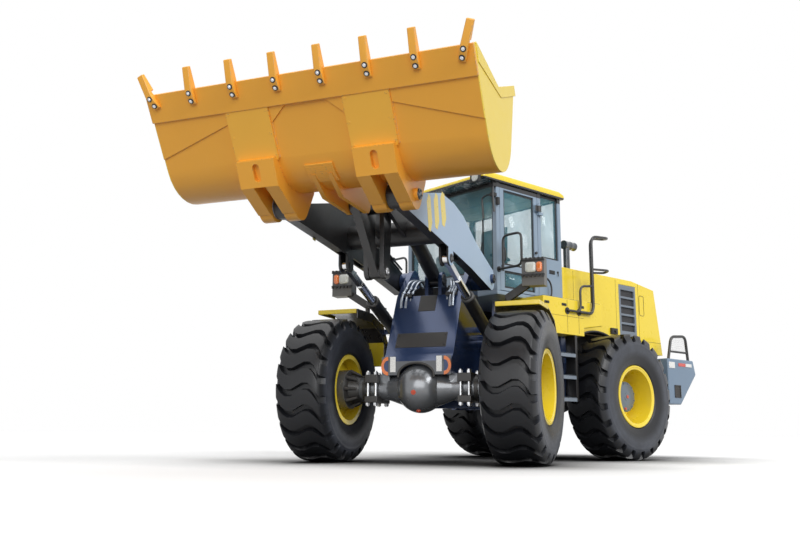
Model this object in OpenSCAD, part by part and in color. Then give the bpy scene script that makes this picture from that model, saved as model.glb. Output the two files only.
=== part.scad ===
// Articulated wheel loader with raised arms and a rolled back bucket.
// X runs forward along the rear half, Y to its left, Z up from the ground.
// The front half is drawn straight ahead and turned by the steering angle.

/* [Stance] */
// Steering angle at rest, left positive, degrees
steer_angle = 27.3; // [20:0.1:30]
// Distance from the articulation pin to each axle
axle_reach = 1650; // [1620:5:1690]
// Half of the wheel track
half_track = 1120; // [1110:5:1150]
// Shift along X that puts the datum under the middle of the machine
datum_x = -628; // [-700:1:-550]
// Shift along Y that puts the datum under the middle of the machine
datum_y = -1064; // [-1150:1:-950]

/* [Wheels] */
// Tyre diameter out to the lug tips
tyre_d = 1590; // [1540:5:1600]
// Tyre width at its widest
tyre_w = 595; // [560:5:600]
// Diameter of the bead seat
rim_d = 724; // [700:2:740]
// Diameter of the wheel spindle
spindle_d = 180; // [160:2:190]
// Thickness of the wheel disc
disc_t = 25; // [20:1:30]

/* [Arms] */
// Height of the arm pivot above the ground
lift_pivot_z = 2080; // [2070:1:2090]
// Distance of the arm pivot ahead of the articulation
lift_pivot_x = 980; // [970:1:990]
// Centre plane of each arm from the middle of the machine
arm_y = 551; // [545:1:555]
// Thickness of each arm
arm_t = 104; // [100:1:110]
// Diameter of the main pins
pin_d = 110; // [100:1:115]

/* [Cylinders] */
// Outer diameter of the lift barrels
lift_barrel_d = 140; // [130:1:145]
// Diameter of the lift rods
lift_rod_d = 90; // [80:1:95]
// Outer diameter of the tilt barrel
tilt_barrel_d = 165; // [150:1:170]
// Diameter of the tilt rod
tilt_rod_d = 100; // [90:1:105]
// Width of the eyes of the tilt cylinder and of the link
eye_w = 110; // [100:1:112]

/* [Bucket] */
// Width over the side plates
bucket_w = 3000; // [2950:5:3050]
// Angle of the floor above level at rest, degrees
bucket_angle = 59.5; // [57:0.1:61]
// Length of the straight floor behind the lip
bucket_floor = 700; // [680:1:715]
// Outer radius of the curved back
bucket_curve_r = 405; // [400:1:410]
// Thickness of the shell
bucket_wall = 25; // [18:1:30]
// Thickness of the cutting edge
edge_t = 35; // [25:1:40]
// How far the teeth reach ahead of the lip
tooth_reach = 190; // [170:1:200]

/* [Cab] */
// Half of the cab width
cab_half = 800; // [790:1:805]
// Height of the underside of the cab floor
cab_floor_z = 1960; // [1955:1:1970]
// Height of the underside of the roof
cab_roof_z = 3350; // [3300:1:3380]
// Thickness of the roof
roof_t = 60; // [50:1:70]
// Width of the posts
post_w = 60; // [50:1:65]
// Thickness of the glass
glass_t = 10; // [6:1:12]
// Thickness of the doors
door_t = 40; // [30:1:44]

/* [Hood] */
// Half of the hood width
hood_half = 800; // [790:1:810]
// Height of the top of the hood at its front
hood_z = 2455; // [2440:1:2470]
// Thickness of the hood panels
hood_wall = 25; // [20:1:30]
// Half of the counterweight width
weight_half = 1100; // [1060:5:1120]

/* [Fits] */
// Radial play of the pins in their bores
pin_play = 0.5; // [0.4:0.1:0.8]
// Side gap between plates that move past each other
run_gap = 8; // [6:0.5:9]
// Overrun of the cuts past a face
cut = 4; // [2:1:6]

/* [Hidden] */
$fn = 48;

yellow = "#f4cf3c";
amber = "#e0a030";
steel_blue = "#8a9cae";
navy = "#2b3340";
black = "#1d1e20";
chrome = "#d5d8dc";
axle_grey = "#4c5057";
glass_cyan = "#9fd3dd";

// Wheels: half of the tyre section as shares of its height and of its half width
tyre_r = tyre_d / 2;
wheel_z = tyre_r;
seat_r = rim_d / 2;
tyre_side_shares = [[0, 0.8], [0.07, 0.8], [0.075, 0.87], [0.25, 0.96], [0.5, 1],
    [0.75, 0.97], [0.92, 0.88], [1, 0.76]];
bead_half = tyre_side_shares[0][1] * tyre_w / 2;
flange_t = 14;
flange_rise = 26;
flange_r = seat_r + flange_rise;
rim_wall = 22;
disc_out = -85;
hub_r = 190;
hub_out = 90;
hub_cap_r = 150;
hub_cap_t = 15;
spindle_r = spindle_d / 2;
spindle_end = -20;

// Axles
axle_tube_r = 125;
flare_r = 212;
flare_in = 120;
flare_out = 380;
brake_r = 215;
brake_l = 150;
brake_gap = 15;
diff_r = 265;
diff_lead = 40;
pad_half = 110;
pad_in = 340;
pad_out = 450;
pad_h = 150;
pad_z = wheel_z + pad_h;
shaft_r = 50;
shaft_end = 360;
joint_r = 85;
joint_l = 60;

// Articulation ears and pins
ear_r = 150;
ear_t = 60;
ear_gap = 6;
hinge_pin_r = 60;
hinge_high_z = 1290;
hinge_low_z = 690;

// Front chassis
tower_in = 330;
tower_out = 390;
chassis_z = 620;
fork_x = 250;
fork_t = 90;
fork_top = 1420;
nose_x = 1850;
nose_z = 1070;
chin_x = 1759;
chin_z = 1164;
brow_x = 1429;
brow_z = 1850;
plate_t = 30;
belly_x = 1150;
knee_x = 1330;
neck_off = 910;
neck_x = axle_reach - neck_off;
neck_z = 1570;
head_half = 110;
head_r = 150;
tower_boss_r = 130;
pin_r = pin_d / 2;
pin_head = 30;
lift_foot_r = 90;
foot_back = 95;
foot_t = 55;
foot_h = 110;
outrigger_off = 1030;
outrigger_w = 80;
outrigger_x = [axle_reach - outrigger_off, axle_reach - outrigger_off + outrigger_w];
outrigger_z = [1500, 1560];
outrigger_turn = 640;

// Front fenders
fender_in = 800;
fender_out = 1296;
fender_t = 20;
fender_web = 15;
fender_front_off = 38;
fender_bend_off = 470;
fender_slope_off = 820;
fender_back_off = 960;
fender_front = axle_reach - fender_front_off;
fender_z = 1711;
fender_bend_x = axle_reach - fender_bend_off;
fender_slope_x = axle_reach - fender_slope_off;
fender_slope_z = 1600;
fender_back_x = axle_reach - fender_back_off;
fender_back_z = 1420;
fender_low_z = 1120;
fender_lip = 110;
fender_line = [[fender_front, fender_z], [fender_bend_x, fender_z], [fender_slope_x, fender_slope_z],
    [fender_back_x, fender_back_z], [fender_back_x, fender_low_z]];
fender_inner = [[fender_back_x + fender_t, fender_low_z], [fender_back_x + fender_t, fender_back_z - fender_t / 3],
    [fender_slope_x + fender_t / 2, fender_slope_z - fender_t], [fender_bend_x + fender_t / 6, fender_z - fender_t],
    [fender_front, fender_z - fender_t]];
web_inner = [[fender_back_x + fender_lip, fender_low_z], [fender_back_x + fender_lip, fender_back_z - fender_lip / 3],
    [fender_slope_x + fender_lip / 2, fender_slope_z - fender_lip], [fender_bend_x + fender_lip / 6, fender_z - fender_lip],
    [fender_front, fender_z - fender_lip]];

// Headlamps
lamp_off = 435;
lamp_y = 1160;
lamp_z = 2078;
lamp_at = [axle_reach - lamp_off, lamp_y, lamp_z];
lamp_size = [150, 250, 310];
lamp_foot_y = 850;
lamp_foot_h = 90;
lamp_post_r = 28;

// Pins of the linkage on the front half, as [x, z]
lift_pivot = [lift_pivot_x, lift_pivot_z];
tilt_base = [1200, 2060];
lift_base = [760, 1370];
lift_eye = [2480, 2035];
crank_pin = [2940, 2530];
rod_pin = [3010, 2960];
link_low = [2950, 1850];
link_pin = [3430, 2390];
hinge_pin = [3840, 2320];

// Arms: outline from the pivot as shares of the arm length
arm_in = arm_y - arm_t / 2;
arm_out = arm_y + arm_t / 2;
arm_l = norm(hinge_pin - lift_pivot);
arm_heel_r = 130;
arm_tip_r = 105;
arm_shares = [[0, 0.045], [0.21, 0.104], [0.375, 0.171], [0.49, 0.191], [0.625, 0.192], [0.91, 0.117],
    [0.99, 0.119], [0.985, 0.048], [0.946, 0.056], [0.66, 0.031], [0.28, -0.006], [0, -0.045]];
cross_r = 125;
cross_at = [2450, 2330];
cheek_t = 40;
cheek_r = 115;
cheek_root = [2450, 2360];
lift_lug_r = 75;
lift_lug_t = 28;
lift_slot = [-430, 170];
lift_slot_up = 230;
lift_neck = 400;
lift_neck_h = 68;
lift_eye_w = 50;
lift_eye_r = 52;
lift_base_w = 90;
eye_play = 6;

// Cylinders
lift_barrel_l = 1080;
lift_rod_l = 1130;
tilt_barrel_l = 1030;
tilt_rod_l = 1200;
lift_pin_r = 35;
tilt_pin_r = 45;
base_eye_r = 80;
lift_barrel_start = 112;
tilt_barrel_start = 142;
neck_h = 120;
bore_start = 220;

// Bell crank and link
crank_in = eye_w / 2 + eye_play;
crank_t = 45;
crank_out = crank_in + crank_t;
cheek_in = crank_out + run_gap;
crank_hub_r = 100;
crank_end_r = 78;
crank_pin_r = 50;
link_pin_r = 42;
link_r = 70;
link_half = 40;
cap_t = 6;
tilt_lug_r = 95;
tilt_lug_t = 40;

// Bucket: distances behind the lip and above the floor
lip_back = 1187;
hinge_rise = 230;
back_angle = 42;
top_back = 509;
top_rise = 1129;
knee_back = 424;
knee_rise = 554;
side_lip = 60;
spill = 200;
edge_l = 246;
ear_plate = 40;
ear_box = 125;
slot_back_share = 1.12;
slot_l = 92;
slot_w = 66;
slot_deep = 45;
bracket_r = 130;
wear_front = 280;
wear_back_share = 0.98;
wear_back = wear_back_share * bucket_floor;
wear_t = 24;
wear_half = 210;
tooth_w = 62;
tooth_root = 130;
tooth_t = 48;
tooth_fit = 0.2;
corner_angle = 20;
tooth_count = 8;
tooth_inset = 60;
ear_shares = [[0.96, 0.01], [0.96, -0.12], [1.3, -0.14], [1.72, 0.12]];
ear_top_shares = [[1.86, 0.42], [1.66, 0.75], [1.4, 0.95]];
bridge_shares = [[0.96, 0.01], [0.96, -0.12], [1.3, -0.14], [1.3, 0.2]];
link_plate_shares = [[1.25, 0.02], [1.6, 0.2], [2, 0.83]];
link_plate_top_shares = [[1.87, 1.01], [1.4, 1]];

// Cab
cab_front = 290;
cab_rear = -950;
door_front = 230;
door_rear = -488;
door_gap = 6;
floor_t = 50;
sill_z = 2263;
rear_sill_z = 2520;
roof_front = 540;
roof_rear = -1010;
roof_over = 35;
roof_crown = 40;
roof_slope = 120;
hinge_r = 12;
knuckle_r = 24;
knuckle_h = 80;
hinge_out = 28;
hinge_up = 87;
hinge_down = 250;
hinge_zs = [sill_z + hinge_up, cab_roof_z - hinge_down];
door_bar = 70;
seat_shares = [[0.1, 0], [0.1, 0.16], [0.72, 0.16], [0.84, 1], [1, 1], [0.95, 0]];
seat_l = 560;
seat_half = 250;
seat_z = 2330;
seat_h_share = 0.706;
seat_h = seat_h_share * (cab_roof_z - seat_z);
stand_x = [-450, -150];
stand_half = 180;
column_foot = [105, 0, cab_floor_z];
column_top = [35, 0, 2640];
column_r = 45;
wheel_ring_r = 190;
wheel_tube_r = 15;
wheel_spoke_h = 24;

// Rear frame
rail_in = 330;
rail_out = 400;
rail_front = -120;
rail_top = 1300;
seat_rear = -900;
cross_x = -300;
weight_x = -2860;
weight_top = 1372;
weight_rear = -3525;
weight_tail = -3584;
tail_z = 1173;
weight_foot = -3155;
weight_low = 738;
hitch_half = 120;
hitch_back = 90;
hitch_t = 35;
hitch_gap = 70;
hitch_r = 28;
deck_out = 1130;
deck_front = -160;
deck_rear = -1330;
deck_z = 1520;
deck_step = -850;
deck_rise = 1680;
beam_w = 100;
tank_front = -240;
tank_out = 930;
tank_low = 760;
ladder_gap = 65;
ladder_w = 410;
ladder_rear = -axle_reach + tyre_r + ladder_gap;
ladder_x = [ladder_rear, ladder_rear + ladder_w];
ladder_z = 715;
ladder_bar = 40;
ladder_depth = 150;
step_count = 3;
step_t = 35;

// Hood
hood_front = -957;
hood_rear = -3062;
hood_tail = -3227;
hood_low = 1445;
hood_skirt = 1520;
hood_brow = -2507;
hood_drop = 75;
arch_r = 870;
arch_gap = 10;
grille_x = -2597;
grille_l = 400;
grille_z = 1660;
grille_h = 715;
slat_count = 6;
slat_t = 30;
grille_frame = 40;
motor_low = 1200;
motor_high = 2150;
box_low = 1100;
box_high = 1600;
box_rear = -1740;
box_front = -800;

// Tubes and pipes
elbow = 1.5;
rail_tube_r = 19;
cross_tube_r = 15;
rail_stand = 35;
rail_y = deck_out + rail_stand;
rail_x = -1100;
rail_foot_x = -838;
rail_foot_z = 1812;
rail_bend_x = -1060;
rail_bend_z = 1895;
rail_high_z = 2820;
rail_mid_z = 2390;
rail_lift = 30;
rail_back_x = -1475;
rail_tip_x = -1570;
rail_inner_x = -1290;
rail_inner_y = 1010;
grab_foot_x = -608;
grab_bend_x = -838;
grab_low_z = 1875;
grab_high_z = 2140;
tall_rail = [[rail_foot_x, deck_out, rail_foot_z], [rail_foot_x, rail_y, rail_foot_z],
    [rail_bend_x, rail_y, rail_foot_z], [rail_x, rail_y, rail_bend_z], [rail_x, rail_y, rail_high_z],
    [rail_back_x, rail_y, rail_high_z + rail_lift], [rail_tip_x, rail_inner_y, rail_high_z + 2 * rail_lift],
    [rail_inner_x, rail_inner_y, rail_high_z + rail_lift], [rail_inner_x, rail_inner_y, cab_floor_z]];
mid_rail = [[rail_x, rail_y, rail_mid_z], [rail_back_x, rail_y, rail_mid_z + rail_lift],
    [rail_tip_x, rail_inner_y, rail_mid_z + rail_lift], [rail_inner_x, rail_inner_y, rail_mid_z]];
grab_rail = [[grab_foot_x, deck_out, rail_foot_z], [grab_foot_x, rail_y, rail_foot_z],
    [grab_bend_x + rail_stand, rail_y, rail_foot_z], [grab_bend_x, rail_y, grab_low_z],
    [grab_bend_x, rail_y, grab_high_z], [rail_x, rail_y, grab_high_z + rail_lift]];
guard_y = 1050;
guard_front_x = -2960;
guard_rear_x = -3470;
guard_lean = 90;
guard_high_z = 1690;
guard_mid_z = 1480;
guard_tube = [[guard_front_x, guard_y, weight_top - cut], [guard_front_x - guard_lean, guard_y, guard_high_z],
    [guard_rear_x + guard_lean / 2, guard_y, guard_high_z + rail_lift], [guard_rear_x, guard_y, weight_top - cut]];
guard_bar = [[guard_front_x - guard_lean / 3, guard_y, guard_mid_z], [guard_rear_x, guard_y, guard_mid_z]];
guard_tube_r = 20;
stack_at = [-1470, 480];
stack_r = 45;
stack_top = 2870;
drum_r = 57;
drum_x = [-1645, -1410];
loop_x = cab_front - post_w / 2;
loop_in = 872;
loop_out = 1163;
loop_low = 2264;
loop_high = 2662;
hand_loop = [[loop_x, cab_half, loop_low], [loop_x, loop_out, loop_low], [loop_x, loop_out, loop_high],
    [loop_x, loop_in, loop_high], [loop_x, loop_in, loop_low]];
loop_tube_r = 15;

function arc(c, r, a, b, n = 12) =
    [for (i = [0:n]) c + r * [cos(a + (b - a) * i / n), sin(a + (b - a) * i / n)]];
function turn(p, a) = [p[0] * cos(a) - p[1] * sin(a), p[0] * sin(a) + p[1] * cos(a)];
function span(middle, width) = [middle - width / 2, middle + width / 2];
function reversed(p) = [for (i = [len(p) - 1:-1:0]) p[i]];
function aim(a, b) = atan2(b[1] - a[1], b[0] - a[0]);
function side(a, b, r) = r * [-sin(aim(a, b)), cos(aim(a, b))];

// Place of a bucket point given behind the lip and above the floor
function in_bucket(p) = hinge_pin + turn([lip_back - p[0], p[1] - hinge_rise], bucket_angle);
function bucket_path(pts) = [for (p = pts) in_bucket(p)];
function floor_shares(pts) = [for (p = pts) bucket_floor * p];

module twin() {
    children();
    mirror([0, 1, 0]) children();
}

// Plate with an outline in X and Z between two Y planes
module slab(pts, y) {
    translate([0, y[1], 0]) rotate([90, 0, 0]) linear_extrude(y[1] - y[0]) polygon(pts);
}

// Round bar along Y between two planes
module bar(at, r, y) {
    translate([at[0], y[0], at[1]]) rotate([-90, 0, 0]) cylinder(h = y[1] - y[0], r = r);
}

module block(x, y, z) {
    translate([x[0], y[0], z[0]]) cube([x[1] - x[0], y[1] - y[0], z[1] - z[0]]);
}

// Tapered plate with round ends from one pin to another
module limb(a, b, ra, rb, y) {
    slab([a + side(a, b, ra), a - side(a, b, ra), b - side(a, b, rb), b + side(a, b, rb)], y);
    bar(a, ra, y);
    bar(b, rb, y);
}

// Bent tube through a row of points
module tube(pts, r) {
    for (i = [0:len(pts) - 2]) {
        d = pts[i + 1] - pts[i];
        translate(pts[i]) rotate([0, acos(d[2] / norm(d)), atan2(d[1], d[0])])
            cylinder(h = norm(d), r = r, $fn = 20);
    }
    if (len(pts) > 2) for (i = [1:len(pts) - 2]) translate(pts[i]) sphere(r = r + elbow, $fn = 20);
}

// Turns X along the line from one pin to another
module along(a, b) {
    translate([a[0], 0, a[1]]) rotate([0, -aim(a, b), 0]) children();
}

// Rod along X between two distances
module shaft(x, r) {
    translate([x[0], 0, 0]) rotate([0, 90, 0]) cylinder(h = x[1] - x[0], r = r);
}

module rear_half() translate([datum_x, datum_y, 0]) children();
module front_half() translate([datum_x, datum_y, 0]) rotate([0, 0, steer_angle]) children();

// Rear half

module hinge_ear(z, reach) {
    translate([0, 0, z]) cylinder(h = ear_t, r = ear_r);
    block([min(0, reach), max(0, reach)], [-ear_r, ear_r], [z, z + ear_t]);
}

module rear_chassis() color(steel_blue) rear_half() {
    rail = [
        [rail_front, chassis_z], [rail_front, cab_floor_z], [seat_rear, cab_floor_z], [seat_rear, rail_top],
        [weight_x, rail_top], [weight_x, pad_z], [-axle_reach + 4 * pad_half, pad_z],
        [cross_x - pad_half, chassis_z]
    ];
    twin() slab(rail, [rail_in, rail_out]);
    block([cross_x, cross_x + ear_t], [-rail_in, rail_in], [chassis_z, fork_top]);
    block([weight_x, weight_x + beam_w], [-rail_in, rail_in], [pad_z, rail_top]);
    for (base = [hinge_low_z, hinge_high_z]) {
        hinge_ear(base - ear_gap - ear_t, cross_x);
        hinge_ear(base + ear_t + ear_gap, cross_x);
        translate([0, 0, base - ear_gap - ear_t]) cylinder(h = 3 * ear_t + 2 * ear_gap, r = hinge_pin_r);
    }
    twin() {
        for (x = [seat_rear + beam_w, deck_front - 2 * beam_w])
            block([x, x + beam_w], [rail_out, deck_out - 2 * beam_w], [deck_z - beam_w, deck_z]);
        block([ladder_x[0], tank_front], [rail_out, tank_out], [tank_low, deck_z - beam_w]);
        block([hood_front - beam_w, hood_front], [rail_out, hood_half], [rail_top - beam_w, hood_skirt]);
        block([weight_x, weight_x + beam_w], [rail_out, hood_half], [rail_top - beam_w, hood_low]);
    }
}

// Half of an axle: tube, brake housing, spindle and the pad under the frame
module axle_side(x) {
    brake_end = half_track + disc_out - disc_t - brake_gap;
    bar([x, wheel_z], axle_tube_r, [0, brake_end - brake_l]);
    translate([x, flare_in, wheel_z]) rotate([-90, 0, 0])
        cylinder(h = flare_out - flare_in, r1 = flare_r, r2 = axle_tube_r);
    bar([x, wheel_z], brake_r, [brake_end - brake_l, brake_end]);
    bar([x, wheel_z], spindle_r, [brake_end, half_track + spindle_end - run_gap]);
    block([x - pad_half, x + pad_half], [pad_in, pad_out], [wheel_z, pad_z]);
}

module rear_axle() color(axle_grey) rear_half() {
    twin() axle_side(-axle_reach);
    translate([-axle_reach + diff_lead, 0, wheel_z]) sphere(r = diff_r);
}

module powertrain() color(navy) rear_half() {
    block([weight_x + 2 * beam_w, box_rear], [-rail_in, rail_in], [motor_low, motor_high]);
    block([box_rear, box_front], [-rail_in, rail_in], [box_low, box_high]);
}

module hood() color(yellow) rear_half() {
    outside = [
        [hood_front, hood_z], [hood_brow, hood_z], [hood_rear, hood_z - hood_drop], [hood_tail, hood_low],
        [-axle_reach - arch_r, hood_low], [hood_front - beam_w, hood_skirt], [hood_front, hood_skirt]
    ];
    inside = [
        [hood_front + cut, hood_z - hood_wall], [hood_brow, hood_z - hood_wall],
        [hood_rear + hood_wall, hood_z - hood_drop - hood_wall], [hood_tail + hood_wall, hood_low - cut],
        [-axle_reach - arch_r, hood_low - cut], [hood_front + cut, hood_low - cut]
    ];
    difference() {
        slab(outside, [-hood_half, hood_half]);
        slab(inside, [-hood_half + hood_wall, hood_half - hood_wall]);
        bar([-axle_reach, wheel_z], arch_r, [-hood_half - cut, hood_half + cut]);
        block([grille_x, grille_x + grille_l], [-hood_half - cut, hood_half + cut], [grille_z, grille_z + grille_h]);
    }
}

module hood_grilles() color(black) rear_half() twin() {
    y = [hood_half - hood_wall, hood_half];
    bars_x = [grille_x + grille_frame, grille_x + grille_l - grille_frame];
    pitch = (grille_h - 2 * grille_frame - slat_t) / (slat_count - 1);
    difference() {
        block([grille_x, grille_x + grille_l], y, [grille_z, grille_z + grille_h]);
        block(bars_x, [y[0] - cut, y[1] + cut], [grille_z + grille_frame, grille_z + grille_h - grille_frame]);
    }
    for (i = [0:slat_count - 1]) {
        low = grille_z + grille_frame + i * pitch;
        block(bars_x, y, [low, low + slat_t]);
    }
}

module counterweight() color(steel_blue) rear_half() {
    outline = [[weight_x, weight_top], [weight_rear, weight_top], [weight_tail, tail_z],
        [weight_foot, weight_low], [weight_x, weight_low]];
    slab(outline, [-weight_half, weight_half]);
    difference() {
        for (z = [tail_z, tail_z + hitch_t + hitch_gap])
            block([weight_tail - hitch_back, weight_rear], [-hitch_half, hitch_half], [z, z + hitch_t]);
        translate([weight_tail - hitch_back / 2, 0, tail_z - cut])
            cylinder(h = 2 * hitch_t + hitch_gap + 2 * cut, r = hitch_r);
    }
}

module side_decks() color(yellow) rear_half() twin() difference() {
    union() {
        block([cab_rear, deck_front], [rail_out, deck_out], [deck_z, cab_floor_z]);
        slab([[cab_rear, deck_z + beam_w], [deck_rear, deck_rise], [deck_rear, cab_floor_z], [cab_rear, cab_floor_z]],
            [hood_half, deck_out]);
    }
    bar([-axle_reach, wheel_z], tyre_r + arch_gap, [rail_out - cut, deck_out + cut]);
}

module ladders() color(navy) rear_half() twin() {
    pitch = (deck_z - ladder_z) / step_count;
    for (x = [ladder_x[0], ladder_x[1] - ladder_bar])
        block([x, x + ladder_bar], [deck_out - ladder_depth, deck_out], [ladder_z, deck_z]);
    for (i = [0:step_count - 1]) {
        z = ladder_z + i * pitch;
        block(ladder_x, [deck_out - ladder_depth, deck_out], [z, z + step_t]);
    }
}

module handrails() color(black) rear_half() twin() {
    tube(tall_rail, rail_tube_r);
    tube(mid_rail, cross_tube_r);
    tube(grab_rail, cross_tube_r);
}

module stack() color(black) rear_half() {
    translate([stack_at[0], stack_at[1], hood_z]) cylinder(h = stack_top - hood_z, r = stack_r);
    translate([0, stack_at[1], stack_top]) shaft(drum_x, drum_r);
}

module lamp_guards() color(black) rear_half() twin() {
    difference() {
        tube(guard_tube, guard_tube_r);
        block([weight_tail, weight_x], [0, weight_half], [weight_low, weight_top]);
    }
    tube(guard_bar, cross_tube_r);
}

module hand_loops() color(black) rear_half() twin() tube(hand_loop, loop_tube_r);

// Cab

cab_y = [-cab_half, cab_half];
post_y = [cab_half - post_w, cab_half];
wall_z = [cab_floor_z + floor_t, cab_roof_z];

module cab_base() color(steel_blue) rear_half()
    block([cab_rear, cab_front], cab_y, [cab_floor_z, cab_floor_z + floor_t]);

module cab_frame() color(steel_blue) rear_half() {
    twin() {
        for (x = [cab_rear, door_rear - post_w, cab_front - post_w]) block([x, x + post_w], post_y, wall_z);
        block([cab_rear + post_w, door_rear - post_w], post_y, [wall_z[0], rear_sill_z]);
        for (z = hinge_zs) {
            translate([door_rear, cab_half + hinge_out, z - knuckle_h / 2])
                cylinder(h = 2 * knuckle_h, r = hinge_r);
            block([door_rear - post_w, door_rear + hinge_r], [cab_half, cab_half + hinge_out + hinge_r],
                [z - knuckle_h / 2, z - run_gap / 2]);
        }
    }
    block([cab_front - post_w, cab_front], [-post_y[0], post_y[0]], [wall_z[0], sill_z]);
    block([cab_rear, cab_rear + post_w], [-post_y[0], post_y[0]], [wall_z[0], rear_sill_z]);
}

module cab_roof() color(yellow) rear_half() {
    outline = [[roof_rear, cab_roof_z], [roof_front, cab_roof_z], [roof_front, cab_roof_z + roof_t],
        [roof_front - roof_slope, cab_roof_z + roof_t + roof_crown], [roof_rear + roof_slope, cab_roof_z + roof_t + roof_crown],
        [roof_rear, cab_roof_z + roof_t]];
    slab(outline, [-cab_half - roof_over, cab_half + roof_over]);
}

module cab_glass() color(glass_cyan) rear_half() {
    mid = post_w / 2;
    block([cab_front - mid, cab_front - mid + glass_t], [-post_y[0], post_y[0]], [sill_z, cab_roof_z]);
    block([cab_rear + mid, cab_rear + mid + glass_t], [-post_y[0], post_y[0]], [rear_sill_z, cab_roof_z]);
    twin() block([cab_rear + post_w, door_rear - post_w], [cab_half - mid, cab_half - mid + glass_t],
        [rear_sill_z, cab_roof_z]);
}

module seat() color(black) rear_half()
    slab([for (s = seat_shares) [-s[0] * seat_l, seat_z + s[1] * seat_h]], [-seat_half, seat_half]);

module operator_stand() color(navy) rear_half() {
    block(stand_x, [-stand_half, stand_half], [cab_floor_z + floor_t, seat_z]);
    difference() {
        tube([column_foot, column_top], column_r);
        block(span(column_foot[0], 4 * column_r), span(0, 4 * column_r), [0, cab_floor_z + floor_t]);
    }
    lean = column_top - column_foot;
    translate(column_top) rotate([0, -atan2(-lean[0], lean[2]), 0]) {
        rotate_extrude() translate([wheel_ring_r, 0]) circle(r = wheel_tube_r);
        for (a = [0:120:240]) rotate([0, 0, a])
            translate([0, -wheel_spoke_h / 2, -wheel_tube_r / 2]) cube([wheel_ring_r, wheel_spoke_h, wheel_tube_r]);
    }
}

// Left door; the right one is its mirror image
door_x = [door_rear + door_gap, door_front - door_gap];
door_z = [cab_floor_z + floor_t + door_gap, cab_roof_z - door_gap];
door_y = [cab_half - door_t, cab_half];
pane_x = [door_x[0] + door_bar, door_x[1] - door_bar];
pane_z = [sill_z + door_bar, door_z[1] - door_bar];
low_pane_z = [door_z[0] + door_bar / 2, sill_z];

module door() color(steel_blue) difference() {
    union() {
        block(door_x, door_y, door_z);
        for (z = hinge_zs) {
            translate([door_rear, cab_half + hinge_out, z]) cylinder(h = knuckle_h, r = knuckle_r);
            block([door_rear, door_x[0] + door_bar], [cab_half, cab_half + hinge_out], [z, z + knuckle_h]);
        }
    }
    for (z = [pane_z, low_pane_z]) block(pane_x, [door_y[0] - cut, door_y[1] + cut], z);
    for (z = hinge_zs) translate([door_rear, cab_half + hinge_out, z - cut])
        cylinder(h = knuckle_h + 2 * cut, r = hinge_r + pin_play);
}

module door_pane() color(glass_cyan) for (z = [pane_z, low_pane_z])
    block(pane_x, [cab_half - (door_t + glass_t) / 2, cab_half - (door_t - glass_t) / 2], z);

module door_left() rear_half() door();
module door_left_glass() rear_half() door_pane();
module door_right() rear_half() mirror([0, 1, 0]) door();
module door_right_glass() rear_half() mirror([0, 1, 0]) door_pane();

// Front half

module front_chassis() color(navy) front_half() {
    tower = [
        [fork_x, chassis_z], [belly_x, chassis_z], [knee_x, pad_z], [nose_x, pad_z], [nose_x, nose_z],
        [chin_x, chin_z], [brow_x, brow_z], lift_pivot + head_half * [1, 1], lift_pivot + head_half * [-1, 1],
        [neck_x, neck_z], [fork_x, fork_top]
    ];
    face = [
        [nose_x, nose_z], [chin_x, chin_z], [brow_x, brow_z], [brow_x - plate_t, brow_z - plate_t],
        [chin_x - plate_t, chin_z - plate_t / 2], [nose_x - plate_t, nose_z]
    ];
    twin() {
        slab(tower, [tower_in, tower_out]);
        bar(lift_pivot, head_r, [tower_in, tower_out]);
        bar(lift_pivot, tower_boss_r, [tower_out, arm_in - run_gap]);
        bar(lift_pivot, pin_r, [tower_in, arm_out + pin_head]);
        lift_foot();
        block(outrigger_x, [tower_out, outrigger_turn], outrigger_z);
        block([outrigger_x[0], fender_slope_x], [outrigger_turn, fender_in], outrigger_z);
        limb(tilt_base, [tilt_base[0], brow_z], tilt_lug_r, tilt_lug_r, [crank_in, crank_in + tilt_lug_t]);
    }
    bar(tilt_base, tilt_pin_r, [-crank_in, crank_in]);
    slab(face, [-tower_in, tower_in]);
    block([neck_x + 2 * plate_t + head_half, brow_x], [-tower_in, tower_in],
        [brow_z - 3 * plate_t, brow_z - plate_t]);
    block([fork_x, fork_x + fork_t], [-tower_in, tower_in], [chassis_z, fork_top]);
    for (z = [hinge_low_z, hinge_high_z]) difference() {
        hinge_ear(z, fork_x);
        translate([0, 0, z - cut]) cylinder(h = ear_t + 2 * cut, r = hinge_pin_r + pin_play);
    }
}

// Bracket at the foot of a lift cylinder
module lift_foot() {
    inner = arm_y - lift_base_w / 2 - eye_play;
    outer = arm_y + lift_base_w / 2 + eye_play;
    bar(lift_base, lift_foot_r, [tower_out, inner]);
    bar(lift_base, lift_pin_r, [inner, outer]);
    bar(lift_base, base_eye_r, [outer, outer + lift_lug_t]);
    back = lift_base[0] - foot_back;
    block([back - foot_t, back], [tower_out, outer + lift_lug_t], span(lift_base[1], foot_h));
    block([back, lift_base[0]], [outer, outer + lift_lug_t], span(lift_base[1], foot_h));
}

module front_axle() color(axle_grey) front_half() {
    twin() axle_side(axle_reach);
    translate([axle_reach + diff_lead, 0, wheel_z]) {
        sphere(r = diff_r);
    }
    translate([0, 0, wheel_z]) {
        shaft([shaft_end, axle_reach], shaft_r);
        shaft([shaft_end, shaft_end + joint_l], joint_r);
    }
}

module front_fenders() color(yellow) front_half() twin() {
    slab(concat(fender_line, fender_inner), [fender_in, fender_out]);
    slab(concat(fender_line, web_inner), [fender_in, fender_in + fender_web]);
}

module headlamps() color(black) front_half() twin() {
    translate(lamp_at) cube(lamp_size, center = true);
    tube([[lamp_at[0], lamp_foot_y, fender_z], [lamp_at[0], lamp_foot_y, fender_z + lamp_foot_h],
        [lamp_at[0], lamp_at[1], lamp_at[2] - lamp_size[2] / 4]], lamp_post_r);
}

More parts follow.
